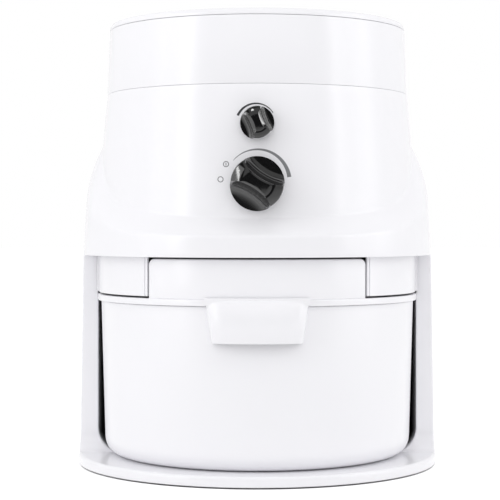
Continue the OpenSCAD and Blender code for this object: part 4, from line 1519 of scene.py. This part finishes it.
@dataclass
class Studio:
    """Pale floor, soft lamps, the dimmer room in front and the camera of the photograph."""

    lens: float = 111.74
    sensor: float = 36.0
    distance: float = 1.2737
    eye: float = 0.1919
    shift: Point2 = (-0.0144, -0.048)
    aim: Point3 = (0, 0, 0.18)
    ambient: float = 0.68
    cloth: float = 0.8
    glow: float = 0.54
    dim: float = 0.94
    room_front: Point2 = (0.05, -0.45)
    floor_front: Point2 = (-0.4, -0.9)
    floor_half: float = 12.0
    # Radii in metres inside which the floor's glow is cut, a painted shadow under the base.
    painted_shadow_radii: Point2 = (0.1435, 0.1455)

    def lamp(self, name: str, place: Point3, size: Point2, power: float) -> None:
        """Adds a soft lamp.

        Args:
            name: Its name.
            place: Where it stands, in metres.
            size: Its width and height.
            power: Watts.
        """
        data = bpy.data.lights.new(name, "AREA")
        data.shape, data.size, data.size_y, data.energy = "RECTANGLE", size[0], size[1], power
        lamp = link(name, data)
        lamp.location = place
        lamp.rotation_euler = (Vector(self.aim) - Vector(place)).to_track_quat("-Z", "Y").to_euler()

    def rays(self, graph: Graph, *kinds: str) -> Val:
        """Gives 1 for a ray of these kinds and 0 for any other."""
        return sum(graph.node("LightPath", {}, {}, kind) for kind in kinds).math("MINIMUM", 1.0)

    def dimmed(self, graph: Graph, level: Val, front: Point2) -> Val:
        """Dims what lies in front of the mill to glossy rays alone.

        Args:
            graph: The graph of the floor or the world.
            level: Its light without this.
            front: Y at which the dim part starts, and at which it is whole.

        Returns:
            The light.
        """
        return level * (1 - graph.along("Y").step(*front) * self.rays(graph, GLOSSY) * self.dim)

    def world(self) -> None:
        """White backdrop with a softer light of its own."""
        world = bpy.data.worlds.new("studio")
        bpy.context.scene.world = world
        graph = Graph(world)
        level = self.rays(graph, *SEEN) * (1 - self.ambient) + self.ambient
        inputs = {"Color": (1, 1, 1, 1), "Strength": self.dimmed(graph, level, self.room_front)}
        graph.node("OutputWorld", {}, {0: graph.node("Background", {}, inputs)})

    def floor(self) -> None:
        """Wide pale floor that keeps the mill's shadow and is white to the camera, with a painted shadow
        under the base where its glow is cut.
        """
        made = bpy.data.materials.new("studio_floor")
        graph = Graph(made)
        cloth = graph.node("BsdfDiffuse", {}, {"Color": (self.cloth, self.cloth, self.cloth, 1)})
        # Painted shadow: no glow inside the base's footprint.
        level = self.rays(graph, *SEEN) * self.glow * graph.away("X", "Y").step(*self.painted_shadow_radii)
        glow = graph.node("Emission", {}, {"Strength": self.dimmed(graph, level, self.floor_front)})
        graph.node("OutputMaterial", {}, {0: graph.node("AddShader", {}, {0: cloth, 1: glow})})
        bm = bmesh.new()
        bmesh.ops.create_grid(bm, x_segments=1, y_segments=1, size=self.floor_half)
        mesh = bpy.data.meshes.new("studio_floor")
        bm.to_mesh(mesh)
        bm.free()
        mesh.materials.append(made)
        link("studio_floor", mesh)

    def camera(self) -> None:
        """The photograph's view: level, from the front."""
        data = bpy.data.cameras.new("camera")
        data.lens, data.sensor_width = self.lens, self.sensor
        data.shift_x, data.shift_y = self.shift
        camera = link("camera", data)
        camera.location = (0, -self.distance, self.eye)
        camera.rotation_euler = (radians(90), 0, 0)
        bpy.context.scene.camera = camera

    def build(self) -> None:
        """Sets up the studio."""
        bpy.context.scene.view_settings.view_transform = "Standard"
        self.world()
        self.floor()
        self.lamp("lamp_left", place=(-1.51, -0.8, 0.7), size=(1.1, 1.6), power=7.0)
        self.lamp("strip_left", place=(-1.35, -1.05, 0.7), size=(0.08, 1.3), power=2.4)
        self.lamp("lamp_right", place=(1.7, -0.4, 0.7), size=(1.0, 1.6), power=6.5)
        self.lamp("strip_right", place=(1.5, -0.9, 0.7), size=(0.07, 1.3), power=2.3)
        self.lamp("lamp_top", place=(0.1, -1.35, 1.25), size=(2.2, 1.5), power=5.2)
        self.camera()


# --- assembly


def main() -> None:
    """Builds every piece in order."""
    logging.basicConfig(level=logging.INFO, format="%(name)s: %(message)s")
    housing = Housing()
    feed = Knob(
        "feed_dial", "feed_knob", "feed_control", axis=MILL_AXIS, back=-129.6, radius=20.2, depth=21.4,
        skirt=6, grip=3.4, pointer=147.5, mark=15.8, mark_radius=1.3, sweep=2.4, facet=1.6,
    )
    speed = Knob(
        "speed_dial", "speed_knob", "speed_control", axis=housing.speed_axis, back=-125.9, radius=12.6,
        depth=17, skirt=5, grip=3.3, pointer=112, mark=8.9, mark_radius=1.1, sweep=3.3, facet=2.5,
    )
    for part in (BaseFrame(), housing, Hopper(), Canister(), feed, speed, Prints(housing), *INNER, Studio()):
        part.build()


if __name__ == "__main__":
    main()
